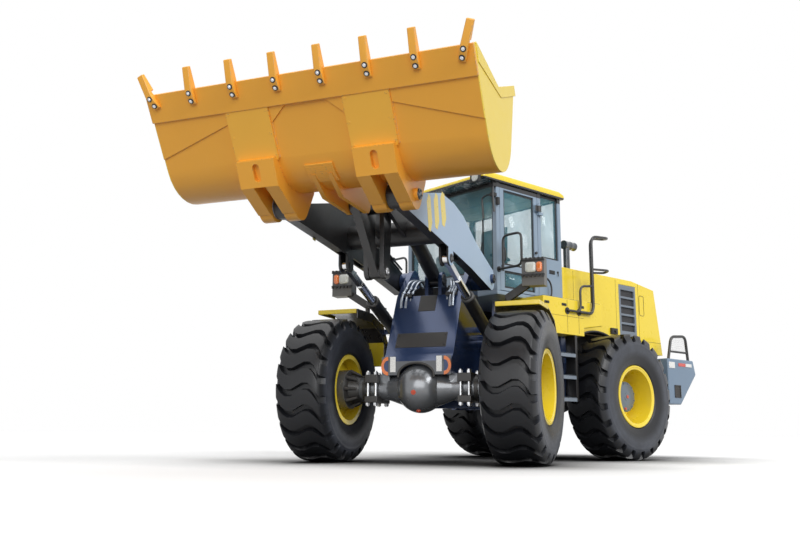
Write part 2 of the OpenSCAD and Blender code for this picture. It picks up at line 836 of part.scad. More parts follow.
module boom() color(steel_blue) front_half() {
    outline = [for (s = arm_shares) lift_pivot + arm_l * s];
    arm = [arm_in, arm_out];
    cheek = [cheek_in, cheek_in + cheek_t];
    lug = lift_eye_w / 2 + eye_play;
    twin() {
        difference() {
            union() {
                slab(outline, arm);
                bar(lift_pivot, arm_heel_r, arm);
                bar(hinge_pin, arm_tip_r, arm);
                limb(lift_eye, lift_eye + [0, 2 * lift_lug_r], lift_lug_r, lift_lug_r, arm);
                for (y = [arm_in - cap_t, arm_out]) bar(lift_eye, lift_pin_r, [y, y + cap_t]);
            }
            bar(lift_pivot, pin_r + pin_play, [arm_in - cut, arm_out + cut]);
            bar(hinge_pin, pin_r + pin_play, [arm_in - cut, arm_out + cut]);
            block([lift_eye[0] + lift_slot[0], lift_eye[0] + lift_slot[1]], [arm_y - lug, arm_y + lug],
                [lift_eye[1] - 2 * lift_lug_r, lift_eye[1] + lift_slot_up]);
        }
        limb(cheek_root, crank_pin, cross_r, cheek_r, cheek);
    }
    bar(cross_at, cross_r, [-arm_in, arm_in]);
    bar(crank_pin, crank_pin_r, [-cheek_in, cheek_in]);
}

module bell_crank() color(black) front_half() difference() {
    union() {
        twin() {
            limb(link_low, crank_pin, crank_end_r, crank_hub_r, [crank_in, crank_out]);
            limb(rod_pin, crank_pin, crank_end_r, crank_hub_r, [crank_in, crank_out]);
            for (p = [link_low, rod_pin]) bar(p, link_pin_r, [crank_out, crank_out + cap_t]);
        }
        bar(crank_pin, crank_hub_r, [-crank_in, crank_in]);
    }
    bar(crank_pin, crank_pin_r + pin_play, [-crank_out - cut, crank_out + cut]);
}

module bucket_link() color(black) front_half() difference() {
    union() {
        limb(link_low, link_pin, link_r, link_r, [-link_half, link_half]);
        for (p = [link_low, link_pin]) bar(p, link_r, [-eye_w / 2, eye_w / 2]);
    }
    for (p = [link_low, link_pin]) bar(p, link_pin_r + pin_play, [-eye_w, eye_w]);
}

module tilt_barrel() color(black) front_half() along(tilt_base, rod_pin) difference() {
    union() {
        bar([0, 0], base_eye_r, [-eye_w / 2, eye_w / 2]);
        block([0, tilt_barrel_start + cut], span(0, eye_w), span(0, neck_h));
        shaft([tilt_barrel_start, tilt_barrel_l], tilt_barrel_d / 2);
    }
    bar([0, 0], tilt_pin_r + pin_play, [-eye_w, eye_w]);
    shaft([bore_start, tilt_barrel_l + cut], tilt_rod_d / 2 + pin_play);
}

module tilt_rod() color(chrome) front_half() along(tilt_base, rod_pin) {
    reach = norm(rod_pin - tilt_base);
    difference() {
        union() {
            shaft([reach - tilt_rod_l, reach], tilt_rod_d / 2);
            bar([reach, 0], link_r, [-eye_w / 2, eye_w / 2]);
        }
        bar([reach, 0], link_pin_r + pin_play, [-eye_w, eye_w]);
    }
}

module lift_barrel(y) color(black) front_half() translate([0, y, 0]) along(lift_base, lift_eye) difference() {
    union() {
        bar([0, 0], base_eye_r, [-lift_base_w / 2, lift_base_w / 2]);
        block([0, lift_barrel_start + cut], span(0, lift_base_w), span(0, neck_h));
        shaft([lift_barrel_start, lift_barrel_l], lift_barrel_d / 2);
    }
    bar([0, 0], lift_pin_r + pin_play, [-eye_w, eye_w]);
    shaft([bore_start, lift_barrel_l + cut], lift_rod_d / 2 + pin_play);
}

module lift_rod(y) color(chrome) front_half() translate([0, y, 0]) along(lift_base, lift_eye) {
    reach = norm(lift_eye - lift_base);
    difference() {
        union() {
            shaft([reach - lift_rod_l, reach - lift_neck + cut], lift_rod_d / 2);
            block([reach - lift_neck, reach], span(0, lift_eye_w), span(0, lift_neck_h));
            bar([reach, 0], lift_eye_r, [-lift_eye_w / 2, lift_eye_w / 2]);
        }
        bar([reach, 0], lift_pin_r + pin_play, [-eye_w, eye_w]);
    }
}

module lift_barrel_left() lift_barrel(arm_y);
module lift_barrel_right() lift_barrel(-arm_y);
module lift_rod_left() lift_rod(arm_y);
module lift_rod_right() lift_rod(-arm_y);

// Bucket

bucket_half = bucket_w / 2;
curve_at = [bucket_floor, bucket_curve_r];

// Frame at a bucket point: X towards the lip, Z into the bucket
module at_bucket(p) {
    at = in_bucket(p);
    translate([at[0], 0, at[1]]) rotate([0, -bucket_angle, 0]) children();
}

module bucket_shell() color(amber) front_half() {
    outside = concat([[0, 0]], arc(curve_at, bucket_curve_r, -90, back_angle), [[top_back, top_rise],
        [knee_back, knee_rise], [0, side_lip]]);
    inside = concat([[-spill, bucket_wall]], arc(curve_at, bucket_curve_r - bucket_wall, -90, back_angle),
        [[top_back - bucket_wall, top_rise], [top_back - bucket_wall, top_rise + spill], [-spill, top_rise + spill]]);
    inner_ear = [arm_in - run_gap - ear_box, arm_in - run_gap];
    outer_ear = [arm_out + run_gap, arm_out + run_gap + ear_box];
    bridge = bucket_path(floor_shares(bridge_shares));
    link_plate = [crank_in, crank_in + ear_plate];
    ear = concat(bucket_path(floor_shares(ear_shares)), bucket_path(floor_shares(ear_top_shares)));
    fork = concat(bucket_path(floor_shares(link_plate_shares)), bucket_path(floor_shares(link_plate_top_shares)));
    wear = [[wear_front, bucket_wall / 2], [wear_front, -wear_t], [wear_back, -wear_t], [wear_back, bucket_wall / 2]];
    difference() {
        union() {
            slab(bucket_path(outside), [-bucket_half, bucket_half]);
            twin() {
                for (y = [inner_ear, outer_ear]) {
                    slab(ear, y);
                    bar(hinge_pin, bracket_r, y);
                }
                slab(bridge, [inner_ear[0], outer_ear[1]]);
                bar(hinge_pin, pin_r, [inner_ear[0], outer_ear[1] + pin_head]);
                slab(bucket_path(wear), [arm_y - wear_half, arm_y + wear_half]);
                slab(fork, link_plate);
                bar(link_pin, crank_end_r, link_plate);
            }
            bar(link_pin, link_pin_r, [-crank_in, crank_in]);
        }
        slab(bucket_path(inside), [-bucket_half + bucket_wall, bucket_half - bucket_wall]);
        twin() at_bucket([slot_back_share * bucket_floor, 0]) translate([0, arm_y, 0]) {
            low = [-2 * slot_deep - wear_t, -slot_deep - cut];
            block(span(0, slot_l), span(0, slot_w), low);
            for (x = span(0, slot_l)) translate([x, 0, low[0]]) cylinder(h = low[1] - low[0], r = slot_w / 2);
        }
    }
}

module cutting_edge() color(axle_grey) front_half()
    slab(bucket_path([[0, 0], [edge_l, 0], [edge_l, -edge_t], [0, -edge_t]]), [-bucket_half, bucket_half]);

// Tooth under the edge plate, X from the lip, Z from the floor; the nose starts ahead of the lip
module tooth(nose) slab([[-tooth_root, -edge_t - tooth_fit], [-tooth_root, -edge_t - tooth_t / 2],
    [-tooth_root / 2, -edge_t - tooth_t], [0, -edge_t - tooth_t], [tooth_reach, -edge_t], [tooth_reach, 0],
    [nose, 0], [nose, -edge_t - tooth_fit]], span(0, tooth_w));

module bucket_teeth() color(amber) front_half() {
    pitch = (bucket_w - 2 * tooth_inset) / (tooth_count - 1);
    for (i = [1:tooth_count - 2]) at_bucket([0, 0]) translate([0, -bucket_half + tooth_inset + i * pitch, 0])
        tooth(tooth_fit);
    twin() at_bucket([0, 0]) translate([0, bucket_half - tooth_inset, 0]) rotate([0, 0, corner_angle]) tooth(tooth_w / 2);
}

// Wheels

// Turns the wheel axis along Y with the outer face on the given side
module wheel_at(x, y) translate([x, y, wheel_z]) rotate([y > 0 ? -90 : 90, 0, 0]) children();

module tyre() color(black) rotate_extrude($fn = 96) {
    half = [for (s = tyre_side_shares) [seat_r + s[0] * (tyre_r - seat_r), s[1] * tyre_w / 2]];
    polygon(concat(half, [for (p = reversed(half)) [p[0], -p[1]]]));
}

module rim() color(yellow) {
    inner = seat_r - rim_wall;
    back_face = disc_out - disc_t;
    rotate_extrude($fn = 96) {
        polygon([
            [inner, -bead_half - flange_t], [flange_r, -bead_half - flange_t], [flange_r, -bead_half],
            [seat_r, -bead_half], [seat_r, bead_half], [flange_r, bead_half], [flange_r, bead_half + flange_t],
            [inner, bead_half + flange_t], [inner, disc_out], [hub_r, disc_out], [hub_r, hub_out],
            [hub_cap_r, hub_out], [hub_cap_r, hub_out + hub_cap_t], [0, hub_out + hub_cap_t], [0, spindle_end],
            [spindle_r + pin_play, spindle_end], [spindle_r + pin_play, back_face], [inner, back_face]
        ]);
    }
}

module tyre_front_left() front_half() wheel_at(axle_reach, half_track) tyre();
module tyre_front_right() front_half() wheel_at(axle_reach, -half_track) tyre();
module tyre_rear_left() rear_half() wheel_at(-axle_reach, half_track) tyre();
module tyre_rear_right() rear_half() wheel_at(-axle_reach, -half_track) tyre();
module rim_front_left() front_half() wheel_at(axle_reach, half_track) rim();
module rim_front_right() front_half() wheel_at(axle_reach, -half_track) rim();
module rim_rear_left() rear_half() wheel_at(-axle_reach, half_track) rim();
module rim_rear_right() rear_half() wheel_at(-axle_reach, -half_track) rim();

rear_chassis();
rear_axle();
powertrain();
hood();
hood_grilles();
counterweight();
side_decks();
ladders();
handrails();
cab_base();
cab_frame();
cab_roof();
cab_glass();
seat();
operator_stand();
stack();
lamp_guards();
hand_loops();
door_left();
door_left_glass();
door_right();
door_right_glass();
front_chassis();
front_axle();
front_fenders();
headlamps();
boom();
bell_crank();
bucket_link();
tilt_barrel();
tilt_rod();
lift_barrel_left();
lift_barrel_right();
lift_rod_left();
lift_rod_right();
bucket_shell();
cutting_edge();
bucket_teeth();
tyre_front_left();
tyre_front_right();
tyre_rear_left();
tyre_rear_right();
rim_front_left();
rim_front_right();
rim_rear_left();
rim_rear_right();
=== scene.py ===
from math import atan2, cos, pi, radians, sin

import bmesh
import bpy
from mathutils import Matrix, Vector


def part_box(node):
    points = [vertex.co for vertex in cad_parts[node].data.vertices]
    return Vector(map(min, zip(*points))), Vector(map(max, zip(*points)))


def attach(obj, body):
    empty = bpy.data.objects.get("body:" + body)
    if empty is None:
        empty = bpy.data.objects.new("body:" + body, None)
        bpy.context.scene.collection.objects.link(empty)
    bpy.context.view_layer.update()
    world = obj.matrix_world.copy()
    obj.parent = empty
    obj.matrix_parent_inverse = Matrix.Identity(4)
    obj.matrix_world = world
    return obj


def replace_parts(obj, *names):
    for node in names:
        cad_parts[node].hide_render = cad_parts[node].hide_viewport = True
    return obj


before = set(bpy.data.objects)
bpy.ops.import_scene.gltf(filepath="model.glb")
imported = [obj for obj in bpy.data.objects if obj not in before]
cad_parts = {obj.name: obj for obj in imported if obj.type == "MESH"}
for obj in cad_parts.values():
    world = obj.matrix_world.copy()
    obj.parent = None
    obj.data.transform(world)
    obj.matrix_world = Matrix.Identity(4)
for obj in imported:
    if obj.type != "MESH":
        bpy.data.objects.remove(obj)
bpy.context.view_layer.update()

# Rear chassis: two long cut plates with cross members, tanks and steering ears, the root of it all.
# Thick welded steel under glossy navy paint. The engine, the cab and the rear axle bolt to it,
# and capped pins through its ears carry the front half.
PIVOT = (-0.628, -1.064, 0)
REAR = Matrix.Translation(PIVOT)
ON_REAR = ("rear_frame", REAR)
NAVY = (0.018, 0.042, 0.120)
ZINC = (0.60, 0.61, 0.63)


class Graph:
    """Short calls that add shader nodes to a tree and hand back the socket they end in."""

    def __init__(self, tree):
        self.tree = tree

    def put(self, node, inputs):
        """Sets or links a node's sockets."""
        for key, value in inputs.items():
            if isinstance(value, bpy.types.NodeSocket):
                self.tree.links.new(value, node.inputs[key])
            else:
                node.inputs[key].default_value = value

    def add(self, kind, inputs=None, out=0, **settings):
        node = self.tree.nodes.new("ShaderNode" + kind)
        for key, value in settings.items():
            setattr(node, key, value)
        self.put(node, inputs or {})
        return node.outputs[out]

    def mix(self, share, a, b):
        return self.add("MixRGB", {"Fac": share, "Color1": a, "Color2": b})

    def math(self, operation, a, b):
        return self.add("Math", {0: a, 1: b}, operation=operation)

    def ramp(self, value, low, high, to_low=0.0, to_high=1.0):
        return self.add("MapRange", {"Value": value, "From Min": low, "From Max": high,
                                     "To Min": to_low, "To Max": to_high})


class Paint(Graph):
    """A new material. Its nodes start at the object's own coordinates and end in its Principled shader."""

    def __init__(self, name):
        self.material = bpy.data.materials.new(name)
        self.material.use_nodes = True
        super().__init__(self.material.node_tree)
        self.at = self.add("TexCoord", out="Object")

    def noise(self, scale, detail, roughness=0.5):
        return self.add("TexNoise", {"Vector": self.at, "Scale": scale, "Detail": detail,
                                     "Roughness": roughness})

    def bump(self, height, strength, distance):
        return self.add("Bump", {"Height": height, "Strength": strength, "Distance": distance})

    def part(self, vector, axis):
        return self.add("SeparateXYZ", {"Vector": vector}, axis)

    def finish(self, inputs):
        self.put(self.tree.nodes["Principled BSDF"], inputs)
        return self.material


def shade(colour, k):
    return tuple(min(1.0, c * k) for c in colour) + (1.0,)


def enamel(name, colour, rough=0.35, coat=0.35, dust=0.12, chips=0.0, bare=(0.16, 0.15, 0.14), metal=0.0,
           mask=None, second=(0, 0, 0)):
    """Sprayed machine paint: slow colour drift, fine orange peel, dust low down, worn edges.
    A mask function may lay a second colour over part of the surface."""
    paint = Paint(name)
    tone = paint.mix(paint.noise(1.7, 5.0), shade(colour, 0.95), shade(colour, 1.05))
    if mask:
        tone = paint.mix(mask(paint), tone, (*second, 1))
    smear = paint.noise(9.0, 8.0, 0.7)
    film = paint.math("MULTIPLY", paint.ramp(paint.part(paint.at, "Z"), 2.2, 0.3, 0.0, dust), smear)
    tone = paint.mix(film, tone, (0.35, 0.31, 0.26, 1))
    if chips:
        edge = paint.add("Bevel", {"Radius": 0.012}, samples=4)
        true = paint.add("NewGeometry", out="True Normal")
        turn = paint.add("VectorMath", {0: edge, 1: true}, "Value", operation="DOT_PRODUCT")
        flakes = paint.ramp(paint.noise(55.0, 6.0), 0.62 - 0.2 * chips, 0.68 - 0.2 * chips)
        tone = paint.mix(paint.math("MULTIPLY", paint.ramp(turn, 0.97, 0.75), flakes), tone, (*bare, 1))
    return paint.finish({
        "Base Color": tone, "Metallic": metal, "Coat Weight": coat, "Coat Roughness": 0.12,
        "Roughness": paint.ramp(smear, 0.3, 0.7, rough - 0.03, rough + 0.05),
        "Normal": paint.bump(paint.noise(260.0, 2.0), 0.05, 0.002)})


def dress(name, mat, edge=0.006):
    """Gives a CAD node its finish, joins its faces and rounds its edges a little."""
    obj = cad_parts[name]
    obj.data.materials.clear()
    obj.data.materials.append(mat)
    if "custom_normal" in obj.data.attributes:
        obj.data.attributes.remove(obj.data.attributes["custom_normal"])
    for poly in obj.data.polygons:
        poly.use_smooth = True
    obj.modifiers.new("join", "WELD").merge_threshold = 0.00005
    if edge:
        round_off(obj, edge)


def round_off(obj, edge):
    mod = obj.modifiers.new("edge", "BEVEL")
    mod.width, mod.segments = edge, 2
    mod.limit_method, mod.angle_limit = "ANGLE", radians(34)
    obj.modifiers.new("flat", "WEIGHTED_NORMAL")


def stand(name, data):
    """A new object in the scene."""
    obj = bpy.data.objects.new(name, data)
    bpy.context.scene.collection.objects.link(obj)
    return obj


def piece(name, bm, mat, mount=ON_REAR, edge=0.0):
    """Makes a drawing in a mount's own straight frame into a piece that rides on the mount's body."""
    body, place = mount
    bm.transform(place)
    bmesh.ops.recalc_face_normals(bm, faces=bm.faces)
    mesh = bpy.data.meshes.new(name)
    bm.to_mesh(mesh)
    bm.free()
    mesh.materials.append(mat)
    for poly in mesh.polygons:
        poly.use_smooth = True
    mesh.set_sharp_from_angle(angle=radians(38))
    obj = stand(name, mesh)
    if edge:
        round_off(obj, edge)
    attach(obj, body)
    return obj


def rod(bm, a, b, r, r2=None, n=20):
    """A round bar or cone between two points."""
    a, b = Vector(a), Vector(b)
    turn = (b - a).to_track_quat("Z", "Y").to_matrix().to_4x4()
    bmesh.ops.create_cone(bm, cap_ends=True, segments=n, radius1=r, radius2=r if r2 is None else r2,
                          depth=(b - a).length, matrix=Matrix.Translation((a + b) / 2) @ turn)


def bolt_ring(bm, middle, axis, ring, count, size, start=0.0):
    """Hexagon heads on washers around an axis."""
    middle, axis = Vector(middle), Vector(axis).normalized()
    across = axis.orthogonal().normalized()
    other = axis.cross(across)
    for i in range(count):
        a = start + 2 * pi * i / count
        at = middle + ring * (cos(a) * across + sin(a) * other)
        rod(bm, at, at + axis * size * 0.2, size * 1.15, n=14)
        rod(bm, at + axis * size * 0.2, at + axis * size * 0.85, size, size * 0.93, n=6)


def plated(name, colour, rough=0.32):
    """Zinc-plated or polished metal with a faint uneven lustre."""
    metal = Paint(name)
    cloud = metal.noise(40.0, 4.0)
    return metal.finish({
        "Base Color": metal.mix(cloud, shade(colour, 0.8), shade(colour, 1.1)), "Metallic": 1.0,
        "Roughness": metal.ramp(cloud, 0, 1, rough - 0.08, rough + 0.12)})


navy_enamel = enamel("navy_enamel", NAVY, rough=0.2, coat=0.5, dust=0.08, metal=0.35)
dress("rear_chassis", navy_enamel)
zinc = plated("zinc_plate", ZINC)
EARS_Z, EAR_TOP = (0.690, 1.290), 0.126
caps = bmesh.new()
for ear_z in EARS_Z:
    top = ear_z + EAR_TOP
    rod(caps, (0, 0, top), (0, 0, top + 0.014), 0.092, 0.088, n=36)
    bolt_ring(caps, (0, 0, top + 0.014), (0, 0, 1), 0.062, 6, 0.013)
piece("hinge_pin_caps", caps, zinc)

# Axles: cast housings with a round differential bowl, brake drums and spindles.
# Dark grey iron paint over a rough casting. Saddles and long plated studs clamp them under the frames.
STEERED = radians(27.3)
FRONT = REAR @ Matrix.Rotation(STEERED, 4, "Z")
ON_FRONT = ("front_frame", FRONT)
AXLE_REACH, HALF_TRACK, WHEEL_Z = 1.65, 1.12, 0.795


def blanks(count):
    """Empty drawings."""
    return [bmesh.new() for _ in range(count)]


def span(side, near, far):
    """Two planes across the machine, on its left side (1) or its right (-1)."""
    return sorted((side * near, side * far))


def box(bm, x, y, z):
    """A block between three pairs of planes."""
    size = [high - low for low, high in (x, y, z)]
    middle = [(low + high) / 2 for low, high in (x, y, z)]
    bmesh.ops.create_cube(bm, size=1, matrix=Matrix.Translation(middle) @ Matrix.Diagonal((*size, 1)))


def stub(bm, side, at, y, r, r2=None, n=20):
    """A round bar or cone across the machine at (x, z), between two distances from its middle plane."""
    rod(bm, (at[0], side * y[0], at[1]), (at[0], side * y[1], at[1]), r, r2, n)


iron_paint = enamel("iron_paint", (0.185, 0.196, 0.212), rough=0.24, coat=0.4, dust=0.1, metal=0.5)
dress("rear_axle", iron_paint)
dress("front_axle", iron_paint)
black_iron = enamel("black_iron", (0.0095, 0.0095, 0.0105), rough=0.42, coat=0.12, dust=0.1)
for half, mount, x in (("front", ON_FRONT, AXLE_REACH), ("rear", ON_REAR, -AXLE_REACH)):
    saddles, studs, drums = blanks(3)
    for side in (1, -1):
        for z in ((0.852, 0.944), (0.640, 0.712)):
            box(saddles, (x - 0.185, x + 0.185), span(side, 0.452, 0.606), z)
        for stud_x in (x - 0.156, x + 0.156):
            for y in (0.483, 0.575):
                rod(studs, (stud_x, side * y, 0.605), (stud_x, side * y, 0.985), 0.0155)
                for low in (0.612, 0.944):
                    rod(studs, (stud_x, side * y, low), (stud_x, side * y, low + 0.028), 0.0265, n=6)
        stub(drums, side, (x, WHEEL_Z), (0.815, 0.845), 0.165, 0.205, n=40)
        stub(drums, side, (x, WHEEL_Z), (0.70, 0.815), 0.132, 0.165, n=40)
        for i in range(9):
            a = 2 * pi * i / 9
            foot = (x + 0.15 * cos(a), side * 0.72, WHEEL_Z + 0.15 * sin(a))
            head = (x + 0.2 * cos(a), side * 0.84, WHEEL_Z + 0.2 * sin(a))
            rod(drums, foot, head, 0.014, 0.022, n=8)
        bolt_ring(drums, (x, side * 0.846, WHEEL_Z), (0, -side, 0), 0.188, 18, 0.012)
        bolt_ring(drums, (x, side * 0.62, WHEEL_Z), (0, -side, 0), 0.118, 10, 0.011)
        stub(drums, side, (x, WHEEL_Z), (0.62, 0.655), 0.142, n=40)
    piece(f"axle_saddles_{half}", saddles, black_iron, mount, 0.008)
    piece(f"axle_studs_{half}", studs, zinc, mount)
    piece(f"brake_drums_{half}", drums, black_iron, mount)

red_enamel = enamel("signal_red", (0.62, 0.075, 0.028), rough=0.3, coat=0.3, dust=0.05)
plugs = bmesh.new()
bowl = Vector((1.69, 0, WHEEL_Z))
for way in (Vector((0.25, 0.008, -0.052)), Vector((0.10, 0.01, -0.24))):
    way.normalize()
    rod(plugs, bowl + way * 0.258, bowl + way * 0.274, 0.026, n=24)
    rod(plugs, bowl + way * 0.274, bowl + way * 0.283, 0.014, n=6)
piece("oil_plugs", plugs, red_enamel, ON_FRONT)

# Engine and gearbox: plain heavy masses between the frame plates.
# Oily cast iron in dark paint, bolted to the frame on rubber mounts.
dress("powertrain", enamel("block_paint", (0.028, 0.030, 0.034), rough=0.5, coat=0.0, dust=0.4))

# Rims: rolled and welded steel rims with a pressed disc and a planetary hub in the middle.
# Yellow enamel, the hub cover cast and painted steel blue, a ring of plated nuts and a valve stem.
YELLOW = (0.92, 0.69, 0.028)
STEEL_BLUE = (0.250, 0.335, 0.435)
SIDES = ((1, "left"), (-1, "right"))
WHEELS = (("front_left", FRONT, AXLE_REACH, 1), ("front_right", FRONT, AXLE_REACH, -1),
          ("rear_left", REAR, -AXLE_REACH, 1), ("rear_right", REAR, -AXLE_REACH, -1))
yellow_enamel = enamel("yellow_enamel", YELLOW, rough=0.28, coat=0.45, dust=0.05)
steel_enamel = enamel("steel_enamel", STEEL_BLUE, rough=0.34, coat=0.3, dust=0.1)


def turned(bm, profile, middle, axis, n=48):
    """A lathe-turned form from (radius, distance along the axis) pairs, closed at both ends."""
    middle, axis = Vector(middle), Vector(axis).normalized()
    across = axis.orthogonal().normalized()
    other = axis.cross(across)
    rings = []
    for r, along in profile:
        at = middle + axis * along
        if r == 0:
            rings.append([bm.verts.new(at)])
        else:
            rings.append([bm.verts.new(at + r * (cos(2 * pi * i / n) * across
                                                 + sin(2 * pi * i / n) * other)) for i in range(n)])
    for low, high in zip(rings, rings[1:]):
        for i in range(n):
            loop = [low[i % len(low)], low[(i + 1) % len(low)], high[(i + 1) % len(high)],
                    high[i % len(high)]]
            loop = [v for k, v in enumerate(loop) if v not in loop[:k]]
            if len(loop) > 2:
                bm.faces.new(loop)


hub_enamel = enamel("hub_enamel", (0.125, 0.165, 0.21), rough=0.36, coat=0.3, dust=0.1)
for end, place, x, side in WHEELS:
    dress("rim_" + end, yellow_enamel, 0.004)
    centre, out = Vector((x, side * HALF_TRACK, WHEEL_Z)), Vector((0, side, 0))
    wheel = ("wheel_" + end, place)
    hub, nuts, ring, mark = blanks(4)
    turned(hub, [(0, 0.118), (0.052, 0.118), (0.056, 0.112), (0.115, 0.112), (0.124, 0.107), (0.153, 0.1062),
                 (0.186, 0.096), (0.193, 0.088), (0.193, 0.06), (0.19, -0.02), (0.197, -0.026),
                 (0.205, -0.072), (0.19, -0.084), (0, -0.084)], centre, out)
    bolt_ring(hub, centre + out * 0.1, out, 0.168, 12, 0.011)
    piece("hub_cover_" + end, hub, hub_enamel, wheel)
    bolt_ring(nuts, centre - out * 0.085, out, 0.255, 20, 0.017)
    stem = centre + Vector((0.305, 0, -0.12))
    rod(nuts, stem - out * 0.08, stem + out * 0.09, 0.007)
    rod(nuts, stem + out * 0.09, stem + out * 0.115, 0.0095)
    piece("wheel_nuts_" + end, nuts, zinc, wheel)
    turned(ring, [(0.343, 0.246), (0.386, 0.246), (0.391, 0.252), (0.388, 0.2605), (0.370, 0.2615),
                  (0.364, 0.256), (0.352, 0.2565), (0.343, 0.2525), (0.343, 0.246)], centre, out, 96)
    piece("lock_ring_" + end, ring, yellow_enamel, wheel)
    rod(mark, centre + out * 0.1, centre + out * 0.126, 0.022, n=6)
    drain = centre + Vector((0.04, 0, -0.15)) + out * 0.1
    rod(mark, drain, drain + out * 0.02, 0.016, n=6)
    piece("hub_plug_" + end, mark, red_enamel, wheel)

# Tyres: bias-ply rock tyres with 22 deep wavy bars that run from shoulder to shoulder.
# Carbon-black rubber moulded in one piece, worn satin on the bars, with a lighter blue-grey painted sheen on
# the side walls, seated on the tapered beads of the rims.
TYRE_R, BEAD_R, TYRE_HALF = 0.795, 0.362, 0.2975
TREAD_BARS = 22
BAR_WAVE, BAR_SWEEP, BAR_TAPER = 0.22, 0.52, 0.11
# Half sections from the crown to the bead, as shares of the section height and of the half width
bar_section = [(1.0, 0.0), (1.0, 0.22), (0.999, 0.44), (0.995, 0.62), (0.986, 0.74), (0.972, 0.81),
               (0.95, 0.843), (0.90, 0.882), (0.845, 0.918), (0.795, 0.947), (0.765, 0.960)]
groove_section = [(0.882, 0.0), (0.882, 0.22), (0.880, 0.44), (0.872, 0.60), (0.850, 0.68), (0.825, 0.72),
                  (0.800, 0.755), (0.772, 0.80), (0.754, 0.855), (0.748, 0.905), (0.742, 0.945)]
wall_section = [(0.735, 0.968), (0.69, 0.980), (0.672, 0.988), (0.655, 0.984), (0.60, 0.992), (0.50, 1.0),
                (0.40, 0.994), (0.30, 0.976), (0.21, 0.945), (0.15, 0.915), (0.115, 0.905), (0.095, 0.885),
                (0.078, 0.845), (0.068, 0.8), (0.0, 0.8)]
# Places along one pitch: three on a bar's face, its two flanks and the groove floor
bar_columns = [(0.0, 0.0), (0.03, 0.0), (0.34, 0.0), (0.65, 0.0), (0.68, 0.0), (0.735, 1.0), (0.84, 1.0),
               (0.945, 1.0)]


def tyre_drawing():
    """A drawing of one tyre and, for each of its points, its share of the side walls' painted sheen."""
    half = list(zip(bar_section, groove_section)) + [(wall, wall) for wall in wall_section]
    rows = [(b, g, -1) for b, g in reversed(half[1:])] + [(b, g, 1) for b, g in half]
    bm, rings, walls = bmesh.new(), [], []
    for bar, groove, sign in rows:
        across = sign * min(bar[1] / 0.85, 1.0)
        wave = BAR_WAVE * sin(pi * across) - BAR_SWEEP * across ** 3
        ring = []
        for i in range(TREAD_BARS):
            for place, low in bar_columns:
                place -= BAR_TAPER * abs(across) ** 3 * (low * (place < 0.8) + (1 - low) * place)
                h = bar[0] + (groove[0] - bar[0]) * low
                w = bar[1] + (groove[1] - bar[1]) * low
                r = BEAD_R + h * (TYRE_R - BEAD_R)
                a = 2 * pi * (i + place + wave) / TREAD_BARS
                ring.append(bm.verts.new((r * cos(a), sign * w * TYRE_HALF, r * sin(a))))
        # Share of the painted sheen: full on the middle of the side wall, none on the tread and at the bead.
        share = max(0.0, min(1.0, (bar[0] - 0.34) / 0.14, (0.86 - bar[0]) / 0.14)) if bar[1] > 0.8 else 0.0
        walls += [share] * len(ring)
        rings.append(ring)
    for ring, after in zip(rings, rings[1:] + rings[:1]):
        for k in range(len(ring)):
            bm.faces.new((ring[k - 1], ring[k], after[k], after[k - 1]))
    return bm, walls


rubber = Paint("tyre_rubber")
bloom, scuff = rubber.noise(5.0, 9.0, 0.65), rubber.noise(70.0, 5.0)
tone = rubber.mix(bloom, (0.0060, 0.0062, 0.0072, 1), (0.0135, 0.0148, 0.0185, 1))
# Painted sheen: the side walls turn a lighter blue-grey, standing in for the glossy highlight on them.
wall_sheen = rubber.math("MULTIPLY", rubber.add("Attribute", out="Fac", attribute_name="wall"), bloom)
tyre_rubber = rubber.finish({
    "Base Color": rubber.mix(wall_sheen, tone, (0.085, 0.094, 0.118, 1)),
    "Roughness": rubber.ramp(scuff, 0.3, 0.7, 0.30, 0.46),
    "Normal": rubber.bump(scuff, 0.12, 0.004), "Specular IOR Level": 0.38})
for end, place, x, side in WHEELS:
    drawing, walls = tyre_drawing()
    wheel = ("wheel_" + end, place @ Matrix.Translation((x, side * HALF_TRACK, WHEEL_Z)))
    tyre = piece("lugged_tyre_" + end, drawing, tyre_rubber, wheel)
    tyre.data.attributes.new("wall", "FLOAT", "POINT").data.foreach_set("value", walls)
    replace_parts(tyre, "tyre_" + end)

# Counterweight: one heavy casting across the tail, with the tow clevis in its middle.
# Cast iron filled smooth and sprayed steel blue. Reflectors, tail lamps and a dark tie-down pocket
# sit on its faces, held by rivets and screws.
dress("counterweight", enamel("weight_enamel", (0.165, 0.240, 0.335), rough=0.4, coat=0.2, dust=0.1), 0.02)


def lens(name, colour):
    """Moulded lamp or reflector plastic with fine prisms behind a clear face."""
    clear = Paint(name)
    prisms = clear.add("TexVoronoi", {"Vector": clear.at, "Scale": 140.0})
    return clear.finish({
        "Base Color": clear.mix(prisms, shade(colour, 0.75), shade(colour, 1.25)), "Roughness": 0.16,
        "Coat Weight": 0.8, "Coat Roughness": 0.03, "Normal": clear.bump(prisms, 0.25, 0.002)})


white_lens = lens("white_reflector", (0.80, 0.81, 0.78))
red_lens = lens("red_reflector", (0.66, 0.05, 0.03))
orange_lens = lens("orange_reflector", (0.86, 0.20, 0.035))
rubber_black = enamel("moulded_black", (0.0105, 0.0108, 0.0115), rough=0.55, coat=0.0, dust=0.2)


def plate(bm, x, y, z, lip=0.004):
    """A thin plate with a raised, chamfered middle, lying on a plane of constant Y."""
    box(bm, x, y, z)
    out = y[1] if abs(y[1]) > abs(y[0]) else y[0]
    step = (y[1] - y[0]) if out == y[1] else (y[0] - y[1])
    inner_y = sorted((out - step * 0.1, out + step * 0.4))
    box(bm, (x[0] + lip, x[1] - lip), inner_y, (z[0] + lip, z[1] - lip))


